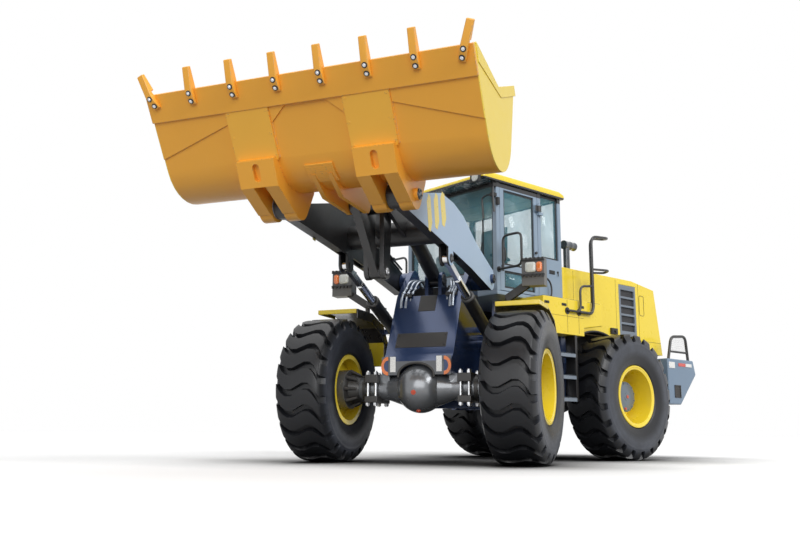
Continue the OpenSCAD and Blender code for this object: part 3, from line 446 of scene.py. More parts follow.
for side, word in SIDES:
    face = span(side, 1.0985, 1.104)
    pale, red, pocket = blanks(3)
    plate(pale, (-3.030, -2.885), face, (1.240, 1.325))
    plate(pale, (-3.470, -3.312), face, (1.272, 1.318))
    plate(red, (-3.308, -3.130), face, (1.272, 1.318))
    piece(f"weight_reflector_white_{word}", pale, white_lens)
    piece(f"weight_reflector_red_{word}", red, red_lens)
    out = side * 1.1015
    for x, z in (((-3.152, -3.137), (0.832, 1.006)), ((-3.011, -2.996), (0.832, 1.006)),
                 ((-3.152, -2.996), (0.832, 0.846)), ((-3.152, -2.996), (0.992, 1.006))):
        box(pocket, x, span(side, 1.096, 1.109), z)
    box(pocket, (-3.14, -3.008), sorted((side * 1.096, out)), (0.842, 0.996))
    for z in (0.88, 0.919, 0.958):
        rod(pocket, (-3.14, side * 1.103, z), (-3.008, side * 1.103, z), 0.004, n=8)
    piece(f"tie_pocket_{word}", pocket, rubber_black)
    lamp_body, tail_red, tail_amber = blanks(3)
    slope = Matrix.Translation((-3.5500, side * 0.78, 1.285)) @ Matrix.Rotation(radians(16.5), 4, "Y")
    box(lamp_body, (-0.03, 0.022), (-0.19, 0.19), (-0.066, 0.066))
    bmesh.ops.transform(lamp_body, matrix=slope, verts=lamp_body.verts)
    for bm, at in ((tail_red, -0.1), (tail_red, 0.0), (tail_amber, 0.105)):
        turned(bm, [(0, -0.043), (0.03, -0.041), (0.043, -0.036), (0.046, -0.028), (0.046, -0.02),
                    (0, -0.02)], (0, side * at, 0), (1, 0, 0), 28)
    for bm in (tail_red, tail_amber):
        bmesh.ops.transform(bm, matrix=slope, verts=bm.verts)
    piece(f"tail_lamp_body_{word}", lamp_body, rubber_black, edge=0.006)
    piece(f"tail_lamp_red_{word}", tail_red, red_lens)
    piece(f"tail_lamp_amber_{word}", tail_amber, orange_lens)

# Hood: pressed sheet panels over a light frame, hinged over the engine.
# Bright yellow enamel with dark shut lines, louvres in steel-blue frames over black screens,
# recessed pulls, a battery switch box and black rubber lips round the wheel arches.
dress("hood", yellow_enamel, 0.008)
dress("hood_grilles", enamel("louvre_grey", (0.155, 0.19, 0.235), rough=0.35, coat=0.3, dust=0.1), 0.004)
seam_dark = enamel("shut_line", (0.10, 0.066, 0.012), rough=0.7, coat=0.0, dust=0.0)


def pipe(bm, points, r, n=10, smooth=0):
    """A bent tube through a row of points, its corners rounded by smooth extra points."""
    path = [Vector(p) for p in points]
    if smooth:
        fine = []
        for k in range(len(path) - 1):
            a, b, c, d = (path[max(0, min(len(path) - 1, k + o))] for o in (-1, 0, 1, 2))
            for i in range(smooth):
                t = i / smooth
                fine.append(0.5 * ((2 * b) + (c - a) * t + (2 * a - 5 * b + 4 * c - d) * t * t
                                   + (3 * b - a - 3 * c + d) * t ** 3))
        path = fine + [path[-1]]
    rings = []
    across = (path[1] - path[0]).orthogonal().normalized()
    for k, p in enumerate(path):
        ahead = (path[min(k + 1, len(path) - 1)] - path[max(k - 1, 0)]).normalized()
        across = (across - ahead * across.dot(ahead)).normalized()
        other = ahead.cross(across)
        rings.append([bm.verts.new(p + r * (cos(2 * pi * i / n) * across
                                            + sin(2 * pi * i / n) * other)) for i in range(n)])
    for low, high in zip(rings, rings[1:]):
        for i in range(n):
            bm.faces.new((low[i], low[(i + 1) % n], high[(i + 1) % n], high[i]))
    bm.faces.new(rings[0])
    bm.faces.new(list(reversed(rings[-1])))


screen = Paint("mesh_screen")
punched = screen.ramp(screen.add("TexVoronoi", {"Vector": screen.at, "Scale": 110.0}), 0.25, 0.4)
screen_black = screen.finish({
    "Base Color": screen.mix(punched, (0.003, 0.003, 0.004, 1), (0.022, 0.022, 0.026, 1)), "Roughness": 0.6,
    "Normal": screen.bump(punched, 0.6, 0.003)})


def rounded(low, high, r, steps):
    """The outline of a rectangle with round corners."""
    corners = ((high[0] - r, high[1] - r), (low[0] + r, high[1] - r), (low[0] + r, low[1] + r),
               (high[0] - r, low[1] + r))
    return [(u + r * cos(radians(90 * (k + i / steps))), v + r * sin(radians(90 * (k + i / steps))))
            for k, (u, v) in enumerate(corners) for i in range(steps + 1)]


for side, word in SIDES:
    lines, screens, trim, lips = blanks(4)
    face = span(side, 0.799, 0.8012)
    for x, low in ((-1.18, 1.70), (-2.12, 1.615), (-2.66, 1.46)):
        box(lines, (x - 0.0025, x + 0.0025), face, (low, 2.43))
    box(lines, (-2.12, -1.30), face, (1.61, 1.615))
    box(lines, (-3.19, -2.66), face, (1.616, 1.621))
    bmesh.ops.create_grid(screens, x_segments=2, y_segments=2, size=0.5,
                          matrix=Matrix.Translation((-2.397, side * 0.771, 2.0175))
                          @ Matrix.Rotation(pi / 2, 4, "X")
                          @ Matrix.Diagonal((0.36, 0.68, 1, 1)))
    bmesh.ops.solidify(screens, geom=screens.faces[:], thickness=0.004)
    outline = [(x, side * 0.8005, z) for x, z in rounded((-2.79, 1.98), (-2.68, 2.265), 0.025, 4)]
    pipe(lines, outline + outline[:1], 0.004, 6)
    box(trim, (-2.106, -1.96), span(side, 0.798, 0.826), (1.662, 1.744))
    box(trim, (-2.096, -1.97), span(side, 0.826, 0.832), (1.672, 1.734))
    stub(trim, side, (-2.035, 1.702), (0.83, 0.852), 0.022, 0.019)
    arch = [radians(56.5 + 3.125 * k) for k in range(25)]
    arch = [(-AXLE_REACH + 0.872 * cos(a), side * 0.801, WHEEL_Z + 0.872 * sin(a)) for a in arch]
    pipe(lips, arch, 0.014, 8)
    piece(f"hood_shut_lines_{word}", lines, seam_dark)
    piece(f"louvre_screen_{word}", screens, screen_black)
    piece(f"battery_switch_{word}", trim, rubber_black, edge=0.004)
    piece(f"arch_lip_{word}", lips, rubber_black)

# Rear grille: a framed, louvred door over the cooling fan, hinged on the tail of the hood.
# Folded steel in black with a punched screen behind the blades.
tail = Matrix.Translation((-3.1445, 0, 1.9125)) @ Matrix.Rotation(radians(-10.02), 4, "Y")
blades, mesh_door = blanks(2)
for y, z in (((-0.62, 0.62), (0.33, 0.37)), ((-0.62, 0.62), (-0.36, -0.32)), ((-0.62, -0.58), (-0.36, 0.37)),
             ((0.58, 0.62), (-0.36, 0.37)), ((-0.02, 0.02), (-0.36, 0.37))):
    box(blades, (-0.022, 0.002), y, z)
BLADES, BLADE_FOOT, BLADE_PITCH = 15, -0.30, 0.043
for k in range(BLADES):
    z = BLADE_FOOT + BLADE_PITCH * k
    for y in (-0.3, 0.3):
        bmesh.ops.create_cube(blades, size=1, matrix=Matrix.Translation((-0.012, y, z))
                              @ Matrix.Rotation(radians(35), 4, "Y")
                              @ Matrix.Diagonal((0.03, 0.56, 0.004, 1)))
box(mesh_door, (-0.003, 0.0005), (-0.6, 0.6), (-0.345, 0.355))
black_enamel = enamel("black_enamel", (0.0085, 0.0085, 0.0095), rough=0.36, coat=0.2, dust=0.05)
for bm in (blades, mesh_door):
    bmesh.ops.transform(bm, matrix=tail, verts=bm.verts)
piece("fan_grille", blades, black_enamel)
piece("fan_screen", mesh_door, screen_black)

# Side decks: folded box platforms beside the cab, with the batteries inside them.
# Yellow sheet with shut lines, and black anti-slip treads of raised lozenges screwed on top.
dress("side_decks", yellow_enamel, 0.014)
tread_black = enamel("tread_plate", (0.020, 0.020, 0.022), rough=0.45, coat=0.1, dust=0.2, chips=0.6,
                     bare=(0.30, 0.30, 0.30))
LOZENGE = 0.034
for side, word in SIDES:
    lines, treads, trim = blanks(3)
    face = span(side, 1.129, 1.1312)
    for x in (-0.612, -0.838):
        box(lines, (x - 0.0025, x + 0.0025), face, (1.545, 1.95))
    box(lines, (-0.94, -0.17), face, (1.742, 1.746))
    for x0, x1 in ((-1.30, -1.05), (-0.92, -0.56), (-0.53, -0.18)):
        box(treads, (x0, x1), span(side, 0.842, 1.118), (1.9598, 1.9645))
        for i in range(int((x1 - x0) / LOZENGE)):
            for j in range(8):
                turn = radians(45 if (i + j) % 2 else -45)
                spot = (x0 + 0.02 + LOZENGE * i, side * (0.862 + LOZENGE * j), 1.9655)
                bmesh.ops.create_cube(treads, size=1, matrix=Matrix.Translation(spot)
                                      @ Matrix.Rotation(turn, 4, "Z")
                                      @ Matrix.Diagonal((0.026, 0.007, 0.004, 1)))
    for x in (-0.90, -0.55, -0.22):
        box(trim, (x - 0.045, x + 0.045), span(side, 1.129, 1.136), (1.868, 1.90))
        stub(trim, side, (x, 1.884), (1.134, 1.146), 0.011)
    piece(f"deck_shut_lines_{word}", lines, seam_dark)
    piece(f"deck_treads_{word}", treads, tread_black)
    piece(f"deck_latches_{word}", trim, rubber_black, edge=0.003)

# Ladders and handrails: welded flat bar and bent tube in black enamel, bolted to decks and frame.
# Grey step treads with toothed front lips clip over the rungs, and round flanges foot the rails.
dress("ladders", black_enamel, 0.004)


def on(side, points):
    """Points of the left side, or their mirror images on the right."""
    return [(x, side * y, z) for x, y, z in points]


def bent(points, radius, steps=6):
    """The same row of points with each corner rounded to a pipe bend."""
    path = [Vector(p) for p in points]
    out = [path[0]]
    for before, at, after in zip(path, path[1:], path[2:]):
        reach = min(radius, 0.48 * (at - before).length, 0.48 * (after - at).length)
        a = at + (before - at).normalized() * reach
        b = at + (after - at).normalized() * reach
        for k in range(steps + 1):
            t = k / steps
            out.append(a.lerp(at, t).lerp(at.lerp(b, t), t))
    return out + [path[-1]]


FOOT_X, GRAB_X, RAIL_X, BACK_X, TIP_X = -0.838, -0.608, -1.100, -1.475, -1.570
RAIL_Y, FOOT_Y, FOOT_Z = 1.165, 1.130, 1.812
INNER_X, INNER_Y = -1.290, 1.010
GUARD_Y, LOOP_X = 1.05, 0.260
rails, guards, loops = blanks(3)
# Drawing, points of the left side, tube radius, bend radius
TUBES = (
    (rails, [(FOOT_X, FOOT_Y, FOOT_Z), (FOOT_X, RAIL_Y, FOOT_Z), (-1.060, RAIL_Y, FOOT_Z),
             (RAIL_X, RAIL_Y, 1.895), (RAIL_X, RAIL_Y, 2.820), (BACK_X, RAIL_Y, 2.850),
             (TIP_X, INNER_Y, 2.880), (INNER_X, INNER_Y, 2.850), (INNER_X, INNER_Y, 1.960)], 0.019, 0.11),
    (rails, [(RAIL_X, RAIL_Y, 2.390), (BACK_X, RAIL_Y, 2.420), (TIP_X, INNER_Y, 2.420),
             (INNER_X, INNER_Y, 2.390)], 0.015, 0.09),
    (rails, [(GRAB_X, FOOT_Y, FOOT_Z), (GRAB_X, RAIL_Y, FOOT_Z), (-0.803, RAIL_Y, FOOT_Z),
             (FOOT_X, RAIL_Y, 1.875), (FOOT_X, RAIL_Y, 2.140), (RAIL_X, RAIL_Y, 2.170)], 0.015, 0.09),
    (guards, [(-2.960, GUARD_Y, 1.372), (-3.050, GUARD_Y, 1.690), (-3.425, GUARD_Y, 1.720),
              (-3.470, GUARD_Y, 1.372)], 0.020, 0.09),
    (guards, [(-2.990, GUARD_Y, 1.480), (-3.456, GUARD_Y, 1.480)], 0.015, 0),
    (loops, [(LOOP_X, 0.800, 2.264), (LOOP_X, 1.163, 2.264), (LOOP_X, 1.163, 2.662),
             (LOOP_X, 0.872, 2.662), (LOOP_X, 0.872, 2.264)], 0.015, 0.08))
for side in (1, -1):
    for bm, points, r, bend in TUBES:
        pipe(bm, bent(on(side, points), bend), r, 14)
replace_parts(piece("bent_handrails", rails, black_enamel), "handrails")
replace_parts(piece("bent_lamp_guards", guards, black_enamel), "lamp_guards")
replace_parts(piece("bent_hand_loops", loops, black_enamel), "hand_loops")
step_grey = enamel("step_grey", (0.20, 0.245, 0.30), rough=0.42, coat=0.1, dust=0.25)
STEP_FOOT, STEP_RISE, STEP_X = 0.715, 0.805 / 3, (-0.748, -0.422)
for side, word in SIDES:
    steps, feet = blanks(2)
    for k in range(3):
        z = STEP_FOOT + STEP_RISE * k
        box(steps, STEP_X, span(side, 0.985, 1.136), (z + 0.0355, z + 0.041))
        box(steps, STEP_X, span(side, 1.1305, 1.136), (z - 0.006, z + 0.041))
        for i in range(16):
            x = -0.736 + 0.02 * i
            for y in (1.01, 1.05, 1.09, 1.125):
                rod(steps, (x, side * y, z + 0.040), (x, side * y, z + 0.045), 0.006, 0.0035, n=8)
    for x in (FOOT_X, GRAB_X):
        stub(feet, side, (x, FOOT_Z), (1.1305, 1.139), 0.042, n=24)
        bolt_ring(feet, (x, side * 1.139, FOOT_Z), (0, side, 0), 0.031, 3, 0.006)
    rod(feet, (INNER_X, side * INNER_Y, 1.9605), (INNER_X, side * INNER_Y, 1.969), 0.045, n=24)
    bolt_ring(feet, (INNER_X, side * INNER_Y, 1.969), (0, 0, 1), 0.034, 4, 0.006)
    piece(f"step_treads_{word}", steps, step_grey)
    piece(f"rail_flanges_{word}", feet, black_enamel)

# Tank straps and return filter: steel bands round the side tanks and a canister behind the ladder.
# Galvanised band and grey spun metal, clamped to the frame.
straps, canister = blanks(2)
for side in (1, -1):
    for x in (-0.64, -0.36):
        box(straps, (x - 0.025, x + 0.025), span(side, 0.925, 0.936), (0.755, 1.42))
        box(straps, (x - 0.025, x + 0.025), span(side, 0.42, 0.936), (0.7525, 0.7615))
        stub(straps, side, (x, 0.80), (0.934, 0.955), 0.013, n=6)
    turned(canister, [(0, 0), (0.035, 0.002), (0.047, 0.012), (0.048, 0.16), (0.044, 0.168), (0.052, 0.172),
                      (0.052, 0.20), (0.03, 0.206), (0.026, 0.225), (0, 0.226)], (-0.585, side * 0.985, 1.06),
           (0, 0, 1))
    box(canister, (-0.615, -0.555), span(side, 0.928, 0.985), (1.215, 1.245))
    stub(canister, side, (-0.57, 0.93), (0.935, 0.995), 0.03, 0.026, n=24)
piece("tank_straps", straps, zinc)
piece("return_filters", canister, step_grey)

# Lamp guards and air intake: bent tube hoops with woven wire in them, and a drum on a stub pipe.
# Black tube, thin bright wire, and a blue-black painted drum with rolled beads and an open throat.
WIRE_R = 0.0018
wires = bmesh.new()
for side in (1, -1):
    for k in range(15):
        x = -3.005 - 0.03 * k
        high = 1.69 + 0.08 * (-3.05 - x) if x < -3.05 else 1.49 + 4 * (-3.0 - x)
        if x > -3.425:
            rod(wires, (x, side * GUARD_Y, 1.482), (x, side * GUARD_Y, high), WIRE_R, n=5)
    for k in range(7):
        z = 1.508 + 0.028 * k
        rod(wires, (-2.854 - 0.1 * z, side * GUARD_Y, z), (-3.6326 + 0.12 * z, side * GUARD_Y, z), WIRE_R,
            n=5)
piece("guard_wire", wires, zinc)
intake_paint = enamel("intake_paint", (0.045, 0.055, 0.070), rough=0.24, coat=0.6, dust=0.05)
dress("stack", intake_paint, 0.004)
STACK_AT, DRUM_END = (-1.47, 0.48), (-1.647, 0.48, 2.87)
drum, throat = blanks(2)
turned(drum, [(0.0595, 0.006), (0.0595, 0.022), (0.0575, 0.026), (0.0575, 0.10), (0.0605, 0.106),
              (0.0605, 0.116), (0.0575, 0.122), (0.0575, 0.21), (0.0605, 0.216), (0.0605, 0.236),
              (0.052, 0.238), (0.050, 0.225), (0.046, 0.2265), (0, 0.2265), (0, 0.006), (0.0595, 0.006)],
       DRUM_END, (1, 0, 0))
turned(drum, [(0.047, 0.0), (0.085, 0.0), (0.085, 0.010), (0.052, 0.014), (0.048, 0.06), (0.046, 0.06),
              (0.046, 0.0), (0.047, 0.0)], (*STACK_AT, 2.4552), (0, 0, 1))
bolt_ring(drum, (*STACK_AT, 2.4655), (0, 0, 1), 0.070, 6, 0.007)
piece("intake_beads", drum, intake_paint)
turned(throat, [(0, 0.2268), (0.046, 0.2268), (0.05, 0.2262), (0.05, 0.2375), (0.046, 0.2375), (0.044, 0.229),
                (0, 0.2285)], DRUM_END, (1, 0, 0))
piece("intake_throat", throat, rubber_black)

# Cab shell: welded tube posts, sills and floor in steel blue, black along the top under the roof.
# Panels carry a latch, a lock and a bent grab handle, and black rubber frames hold the glass.
def above(z, operation="GREATER_THAN"):
    """Mask of everything over a height, or under it."""
    return lambda paint: paint.math(operation, paint.part(paint.at, "Z"), z)


cab_enamel = enamel("cab_enamel", STEEL_BLUE, rough=0.32, coat=0.35, dust=0.05, mask=above(3.292),
                    second=(0.012, 0.012, 0.013))
dress("cab_base", steel_enamel, 0.008)
dress("cab_frame", cab_enamel, 0.006)
SEAL_TOP = (3.318, 3.3495)
trim, grabs, seals = blanks(3)
for side in (1, -1):
    plate(trim, (-0.80, -0.695), span(side, 0.799, 0.808), (2.331, 2.379))
    stub(trim, side, (-0.862, 2.366), (0.799, 0.812), 0.016, 0.013)
    box(trim, (-0.868, -0.856), span(side, 0.81, 0.814), (2.315, 2.36))
    pipe(grabs, on(side, [(-0.585, 0.798, 2.262), (-0.592, 0.838, 2.254), (-0.650, 0.845, 2.205),
                          (-0.676, 0.845, 2.13), (-0.670, 0.845, 2.055), (-0.665, 0.832, 2.022),
                          (-0.664, 0.798, 2.016)]), 0.011, 10, 5)
    for x, z in ((-0.585, 2.262), (-0.664, 2.016)):
        stub(grabs, side, (x, z), (0.799, 0.806), 0.024)
    frame_y = span(side, 0.762, 0.7835)
    for x, z in (((-0.892, -0.868), (2.52, 3.35)), ((-0.572, -0.547), (2.52, 3.35)),
                 ((-0.892, -0.547), (2.519, 2.543)), ((-0.892, -0.547), SEAL_TOP)):
        box(seals, x, frame_y, z)
for x in ((0.246, 0.2765), (-0.9365, -0.906)):
    low = 2.262 if x[0] > 0 else 2.519
    for y, z in (((-0.741, -0.715), (low, SEAL_TOP[1])), ((0.715, 0.741), (low, SEAL_TOP[1])),
                 ((-0.741, 0.741), (low, low + 0.026)), ((-0.741, 0.741), SEAL_TOP)):
        box(seals, x, y, z)
piece("cab_latches", trim, rubber_black, edge=0.003)
piece("cab_grabs", grabs, black_enamel)
piece("window_seals", seals, rubber_black, edge=0.004)

# Roof: one moulded yellow shell over a black underside, which shades the glass as a visor.
# Glass-fibre with a gel coat. Work lamps hang on its front edge and rubber plugs close its lifting points.
roof_shell = enamel("roof_shell", YELLOW, rough=0.26, coat=0.5, dust=0.0, mask=above(3.374, "LESS_THAN"),
                    second=(0.012, 0.012, 0.013))
dress("cab_roof", roof_shell, 0.022)
glow_lens = lens("lamp_glass", (0.60, 0.62, 0.58))
for side, word in SIDES:
    body, face, knobs = blanks(3)
    box(body, (0.5385, 0.582), span(side, 0.658, 0.792), (3.310, 3.422))
    box(body, (0.566, 0.590), span(side, 0.652, 0.798), (3.412, 3.428))
    for y in (0.652, 0.790):
        box(body, (0.566, 0.590), span(side, y, y + 0.008), (3.304, 3.428))
    box(body, (0.566, 0.590), span(side, 0.652, 0.798), (3.304, 3.312))
    turned(face, [(0, 0.012), (0.03, 0.011), (0.048, 0.007), (0.053, 0), (0.053, -0.004), (0, -0.004)],
           (0.582, side * 0.725, 3.3645), (1, 0, 0), 32)
    for x in (-0.379, -0.768, 0.12):
        rod(knobs, (x, side * 0.812, 3.405), (x, side * 0.826, 3.429), 0.013, 0.009)
    piece(f"roof_lamp_body_{word}", body, rubber_black, edge=0.003)
    piece(f"roof_lamp_glass_{word}", face, glow_lens)
    piece(f"roof_plugs_{word}", knobs, rubber_black)
liner = bmesh.new()
box(liner, (-0.885, 0.225), (-0.735, 0.735), (3.326, 3.3495))
for x in (-0.62, -0.3, 0.02):
    box(liner, (x - 0.006, x + 0.006), (-0.70, 0.70), (3.319, 3.328))
box(liner, (0.06, 0.215), (-0.72, 0.10), (3.24, 3.33))
lining = enamel("roof_lining", (0.34, 0.42, 0.44), rough=0.8, coat=0.0, dust=0.0)
piece("roof_liner", liner, lining, edge=0.01)

# Glass: flat toughened panes, body-tinted cyan, set in rubber frames.
# A black pantograph wiper hangs on its spindle in front of the windscreen.
tint = Paint("cab_tint")
haze = tint.noise(5.0, 3.0)
glass = tint.finish({
    "Base Color": tint.mix(haze, (0.17, 0.52, 0.66, 1), (0.21, 0.58, 0.72, 1)),
    "Roughness": tint.ramp(haze, 0, 1, 0.01, 0.05),
    "Alpha": tint.ramp(haze, 0, 1, 0.19, 0.25), "Specular IOR Level": 0.9, "Coat Weight": 1.0,
    "Coat Roughness": 0.02})
for part in ("cab_glass", "door_left_glass", "door_right_glass"):
    dress(part, glass, 0)
wiper = bmesh.new()
rod(wiper, (0.289, 0.50, 2.236), (0.304, 0.50, 2.236), 0.022)
pipe(wiper, [(0.302, 0.50, 2.236), (0.306, 0.53, 2.40), (0.299, 0.565, 2.62)], 0.0065, 8)
box(wiper, (0.2705, 0.284), (0.558, 0.572), (2.36, 2.92))
pipe(wiper, [(0.299, 0.565, 2.62), (0.280, 0.565, 2.62)], 0.006, 6)
piece("windscreen_wiper", wiper, rubber_black)

# Doors: framed doors hung on two lift-off hinges at their rear edge.
# Folded steel in the cab's blue-grey, with rubber round both panes, a pull, a stay knob and black
# hinge sleeves.
for side, word in SIDES:
    dress("door_" + word, cab_enamel, 0.006)
    door = ("door_" + word, REAR)
    seals, fittings = blanks(2)
    y = span(side, 0.7735, 0.7865)
    for low, high in ((2.333, 3.274), (2.051, 2.263)):
        for x, z in (((-0.4125, -0.388), (low, high)), ((0.130, 0.1545), (low, high)),
                     ((-0.4125, 0.1545), (low - 0.0005, low + 0.024)),
                     ((-0.4125, 0.1545), (high - 0.024, high + 0.0005))):
            box(seals, x, y, z)
    pipe(fittings, on(side, [(0.19, 0.798, 2.36), (0.19, 0.842, 2.375), (0.19, 0.85, 2.45),
                             (0.19, 0.842, 2.525), (0.19, 0.798, 2.54)]), 0.011, 10, 4)
    plate(fittings, (0.168, 0.212), span(side, 0.799, 0.806), (2.255, 2.325))
    stub(fittings, side, (0.19, 2.29), (0.80, 0.815), 0.012)
    stub(fittings, side, (-0.43, 2.56), (0.799, 0.822), 0.014, 0.019)
    for z in (2.351, 3.101):
        rod(fittings, (-0.488, side * 0.828, z), (-0.488, side * 0.828, z + 0.078), 0.0265, n=24)
        box(fittings, (-0.466, -0.415), span(side, 0.80, 0.832), (z, z + 0.078))
    piece(f"door_seals_{word}", seals, rubber_black, door, 0.003)
    piece(f"door_fittings_{word}", fittings, black_enamel, door)

# Mirror arms: bent tubes clamped to the front posts, with the long hand loops below them.
# Black tube in two-bolt clamps of moulded plastic.
arms, clamps = blanks(2)
for side in (1, -1):
    pipe(arms, on(side, [(0.289, 0.775, 3.185), (0.325, 0.775, 3.19), (0.345, 0.70, 3.188),
                         (0.345, 0.635, 3.17), (0.345, 0.622, 3.14), (0.345, 0.630, 3.03),
                         (0.345, 0.637, 2.905)]), 0.013, 10, 5)
    pipe(arms, on(side, [(0.330, 0.79, 3.315), (0.345, 0.80, 3.25), (0.345, 0.805, 3.10),
                         (0.345, 0.815, 2.96)]), 0.012, 10, 4)
    for z in (3.185, 3.305):
        box(clamps, (0.288, 0.352), span(side, 0.752, 0.812), (z - 0.022, z + 0.022))
        bolt_ring(clamps, (0.352, side * 0.782, z), (1, 0, 0), 0.018, 2, 0.006)
    box(clamps, (0.262, 0.302), span(side, 0.7995, 0.838), (3.06, 3.15))
    stub(clamps, side, (0.26, 2.264), (0.80, 0.812), 0.034, n=24)
    bolt_ring(clamps, (0.26, side * 0.812, 2.264), (0, side, 0), 0.025, 3, 0.005)
piece("mirror_arms", arms, black_enamel)
piece("mirror_clamps", clamps, rubber_black, edge=0.003)

# Operator's place: a steering column and seat stand, a moulded dash, a lever console and floor mat.
# Textured dark plastic on a steel frame; dials have plain marks only.
soft_plastic = enamel("dash_plastic", (0.030, 0.033, 0.037), rough=0.6, coat=0.0, dust=0.0)
dress("operator_stand", soft_plastic, 0.004)


def slab(bm, near, far):
    """A plate between two like outlines."""
    near, far = [bm.verts.new(p) for p in near], [bm.verts.new(p) for p in far]
    bm.faces.new(near)
    bm.faces.new(far[::-1])
    for k in range(len(near)):
        bm.faces.new((near[k - 1], far[k - 1], far[k], near[k]))


def prism(bm, outline, y):
    """A plate with an outline in X and Z between two Y planes."""
    slab(bm, *([(x, plane, z) for x, z in outline] for plane in y))


dash, dials, levers = blanks(3)
prism(dash, [(0.226, 2.012), (0.226, 2.56), (0.19, 2.60), (0.12, 2.59), (0.05, 2.50), (0.07, 2.44),
             (0.15, 2.40), (0.17, 2.25), (0.17, 2.012)], (-0.33, 0.33))
prism(dash, [(-0.42, 2.012), (-0.42, 2.50), (-0.36, 2.545), (0.02, 2.545), (0.07, 2.50), (0.05, 2.30),
             (0.0, 2.012)], (-0.56, -0.34))
box(dash, (-0.47, 0.22), (-0.70, 0.70), (2.0098, 2.0165))
for k in range(3):
    at = Vector((0.088, 0.2 - 0.2 * k, 2.548))
    turned(dials, [(0, 0.008), (0.035, 0.008), (0.04, 0.012), (0.044, 0.012), (0.046, 0.0), (0, 0.0)], at,
           (-0.75, 0, 0.66), 28)
for y in (-0.41, -0.48):
    pipe(levers, [(-0.12, y, 2.54), (-0.115, y, 2.60), (-0.10, y, 2.68)], 0.008, 8)
    turned(levers, [(0, 0.0), (0.014, 0.004), (0.02, 0.024), (0.017, 0.05), (0.008, 0.06), (0, 0.061)],
           (-0.102, y, 2.672), (0.2, 0, 1), 18)
piece("dash_and_console", dash, soft_plastic, edge=0.012)
piece("dash_dials", dials, glow_lens)
piece("control_levers", levers, rubber_black)

# Seat: two upholstered foam cushions on a moulded shell.
# Pale grey woven cloth over foam, blown up and settled in a short cloth run, its edges piped.
fabric = Paint("seat_cloth")
threads = {"Vector": fabric.at, "Scale": 260.0, "Distortion": 0.4}
warp, weft = (fabric.add("TexWave", threads, "Fac", bands_direction=way) for way in "XZ")
weave = fabric.math("MULTIPLY", warp, weft)
seat_cloth = fabric.finish({
    "Base Color": fabric.mix(weave, (0.13, 0.14, 0.15, 1), (0.34, 0.36, 0.38, 1)), "Roughness": 0.9,
    "Normal": fabric.bump(weave, 0.3, 0.001), "Sheen Weight": 0.25})


def stuffed(name, outline, half, cap):
    """A foam cushion: a closed block, remeshed, blown up by a short cloth run and eased back."""
    bm = bmesh.new()
    prism(bm, outline, (-half, half))
    bmesh.ops.recalc_face_normals(bm, faces=bm.faces)
    bmesh.ops.bevel(bm, geom=bm.edges[:], offset=0.018, segments=3, affect="EDGES")
    mesh = bpy.data.meshes.new(name + "_foam")
    bm.to_mesh(mesh)
    bm.free()
    foam = stand(name + "_foam", mesh)
    cells = foam.modifiers.new("cells", "REMESH")
    cells.mode, cells.voxel_size = "VOXEL", 0.009
    evaluated = foam.evaluated_get(bpy.context.evaluated_depsgraph_get())
    still = bpy.data.meshes.new_from_object(evaluated)
    foam.modifiers.clear()
    foam.data = still
    before = [v.co.copy() for v in still.vertices]
    cloth = foam.modifiers.new("cloth", "CLOTH")
    cloth.settings.use_pressure = True
    cloth.settings.uniform_pressure_force = 4.0
    cloth.settings.effector_weights.gravity = 0.0
    for step in range(1, 21):
        bpy.context.scene.frame_set(step)
    moved = bpy.data.meshes.new_from_object(foam.evaluated_get(bpy.context.evaluated_depsgraph_get()))
    for v, old, new in zip(still.vertices, before, moved.vertices):
        way = new.co - old
        v.co = old + way * min(1.0, cap / max(way.length, 1e-9))
    foam.modifiers.clear()
    bpy.context.scene.frame_set(1)
    bpy.data.meshes.remove(moved)
    bm = bmesh.new()
    bm.from_mesh(still)
    bpy.data.objects.remove(foam)
    bmesh.ops.smooth_vert(bm, verts=bm.verts, factor=0.5, use_axis_x=True, use_axis_y=True, use_axis_z=True)
    cushion = piece(name, bm, seat_cloth)
    return cushion


seat_base = stuffed("seat_cushion", [(-0.075, 2.355), (-0.072, 2.42), (-0.10, 2.432), (-0.40, 2.428),
                                     (-0.42, 2.355)], 0.225, 0.016)
stuffed("seat_backrest", [(-0.43, 2.45), (-0.49, 3.02), (-0.545, 3.03), (-0.535, 2.45)], 0.215, 0.016)
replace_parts(seat_base, "seat")
shell = bmesh.new()
prism(shell, [(-0.06, 2.3305), (-0.06, 2.352), (-0.535, 2.352), (-0.545, 2.40), (-0.556, 2.40),
              (-0.55, 2.3305)], (-0.245, 0.245))
prism(shell, [(-0.54, 2.36), (-0.556, 3.03), (-0.566, 3.03), (-0.556, 2.36)], (-0.22, 0.22))
for side in (1, -1):
    pipe(shell, on(side, [(-0.54, 0.255, 2.56), (-0.48, 0.268, 2.575), (-0.18, 0.268, 2.58)]), 0.022, 10, 3)
piece("seat_shell", shell, soft_plastic, edge=0.006)

# Front chassis: a welded tower of two thick plates with a sloped face between them.
# Glossy navy paint. The face has black pressed plates, an apron arched over the axle bowl with a rubber
# edge, reflectors on brackets, and capped pins for the arms and cylinders.
ARM_PIVOT, LIFT_BASE, TILT_BASE = (0.980, 2.080), (0.760, 1.370), (1.200, 2.060)
dress("front_chassis", navy_enamel)
band, apron, rim_edge = blanks(3)
slope = Vector((-0.4335, 0.9011))
lean = Vector((0.9011, 0.4335))
foot, head = Vector((1.725, 1.235)), Vector((1.6455, 1.40))
SUNK, PROUD = 0.003, 0.004
for low, high, half in ((foot, head, 0.292), (foot + slope * 0.47, foot + slope * 0.678, 0.1)):
    prism(band, [low - lean * SUNK, high - lean * SUNK, high + lean * PROUD, low + lean * PROUD],
          (-half, half))
for z in (0.15, 0.85):
    mid = foot.lerp(head, z) + lean * PROUD
    for y in (-0.27, 0.27):
        rod(band, (mid.x, y, mid.y), (mid.x + lean.x * 0.006, y, mid.y + lean.y * 0.006), 0.009, n=6)
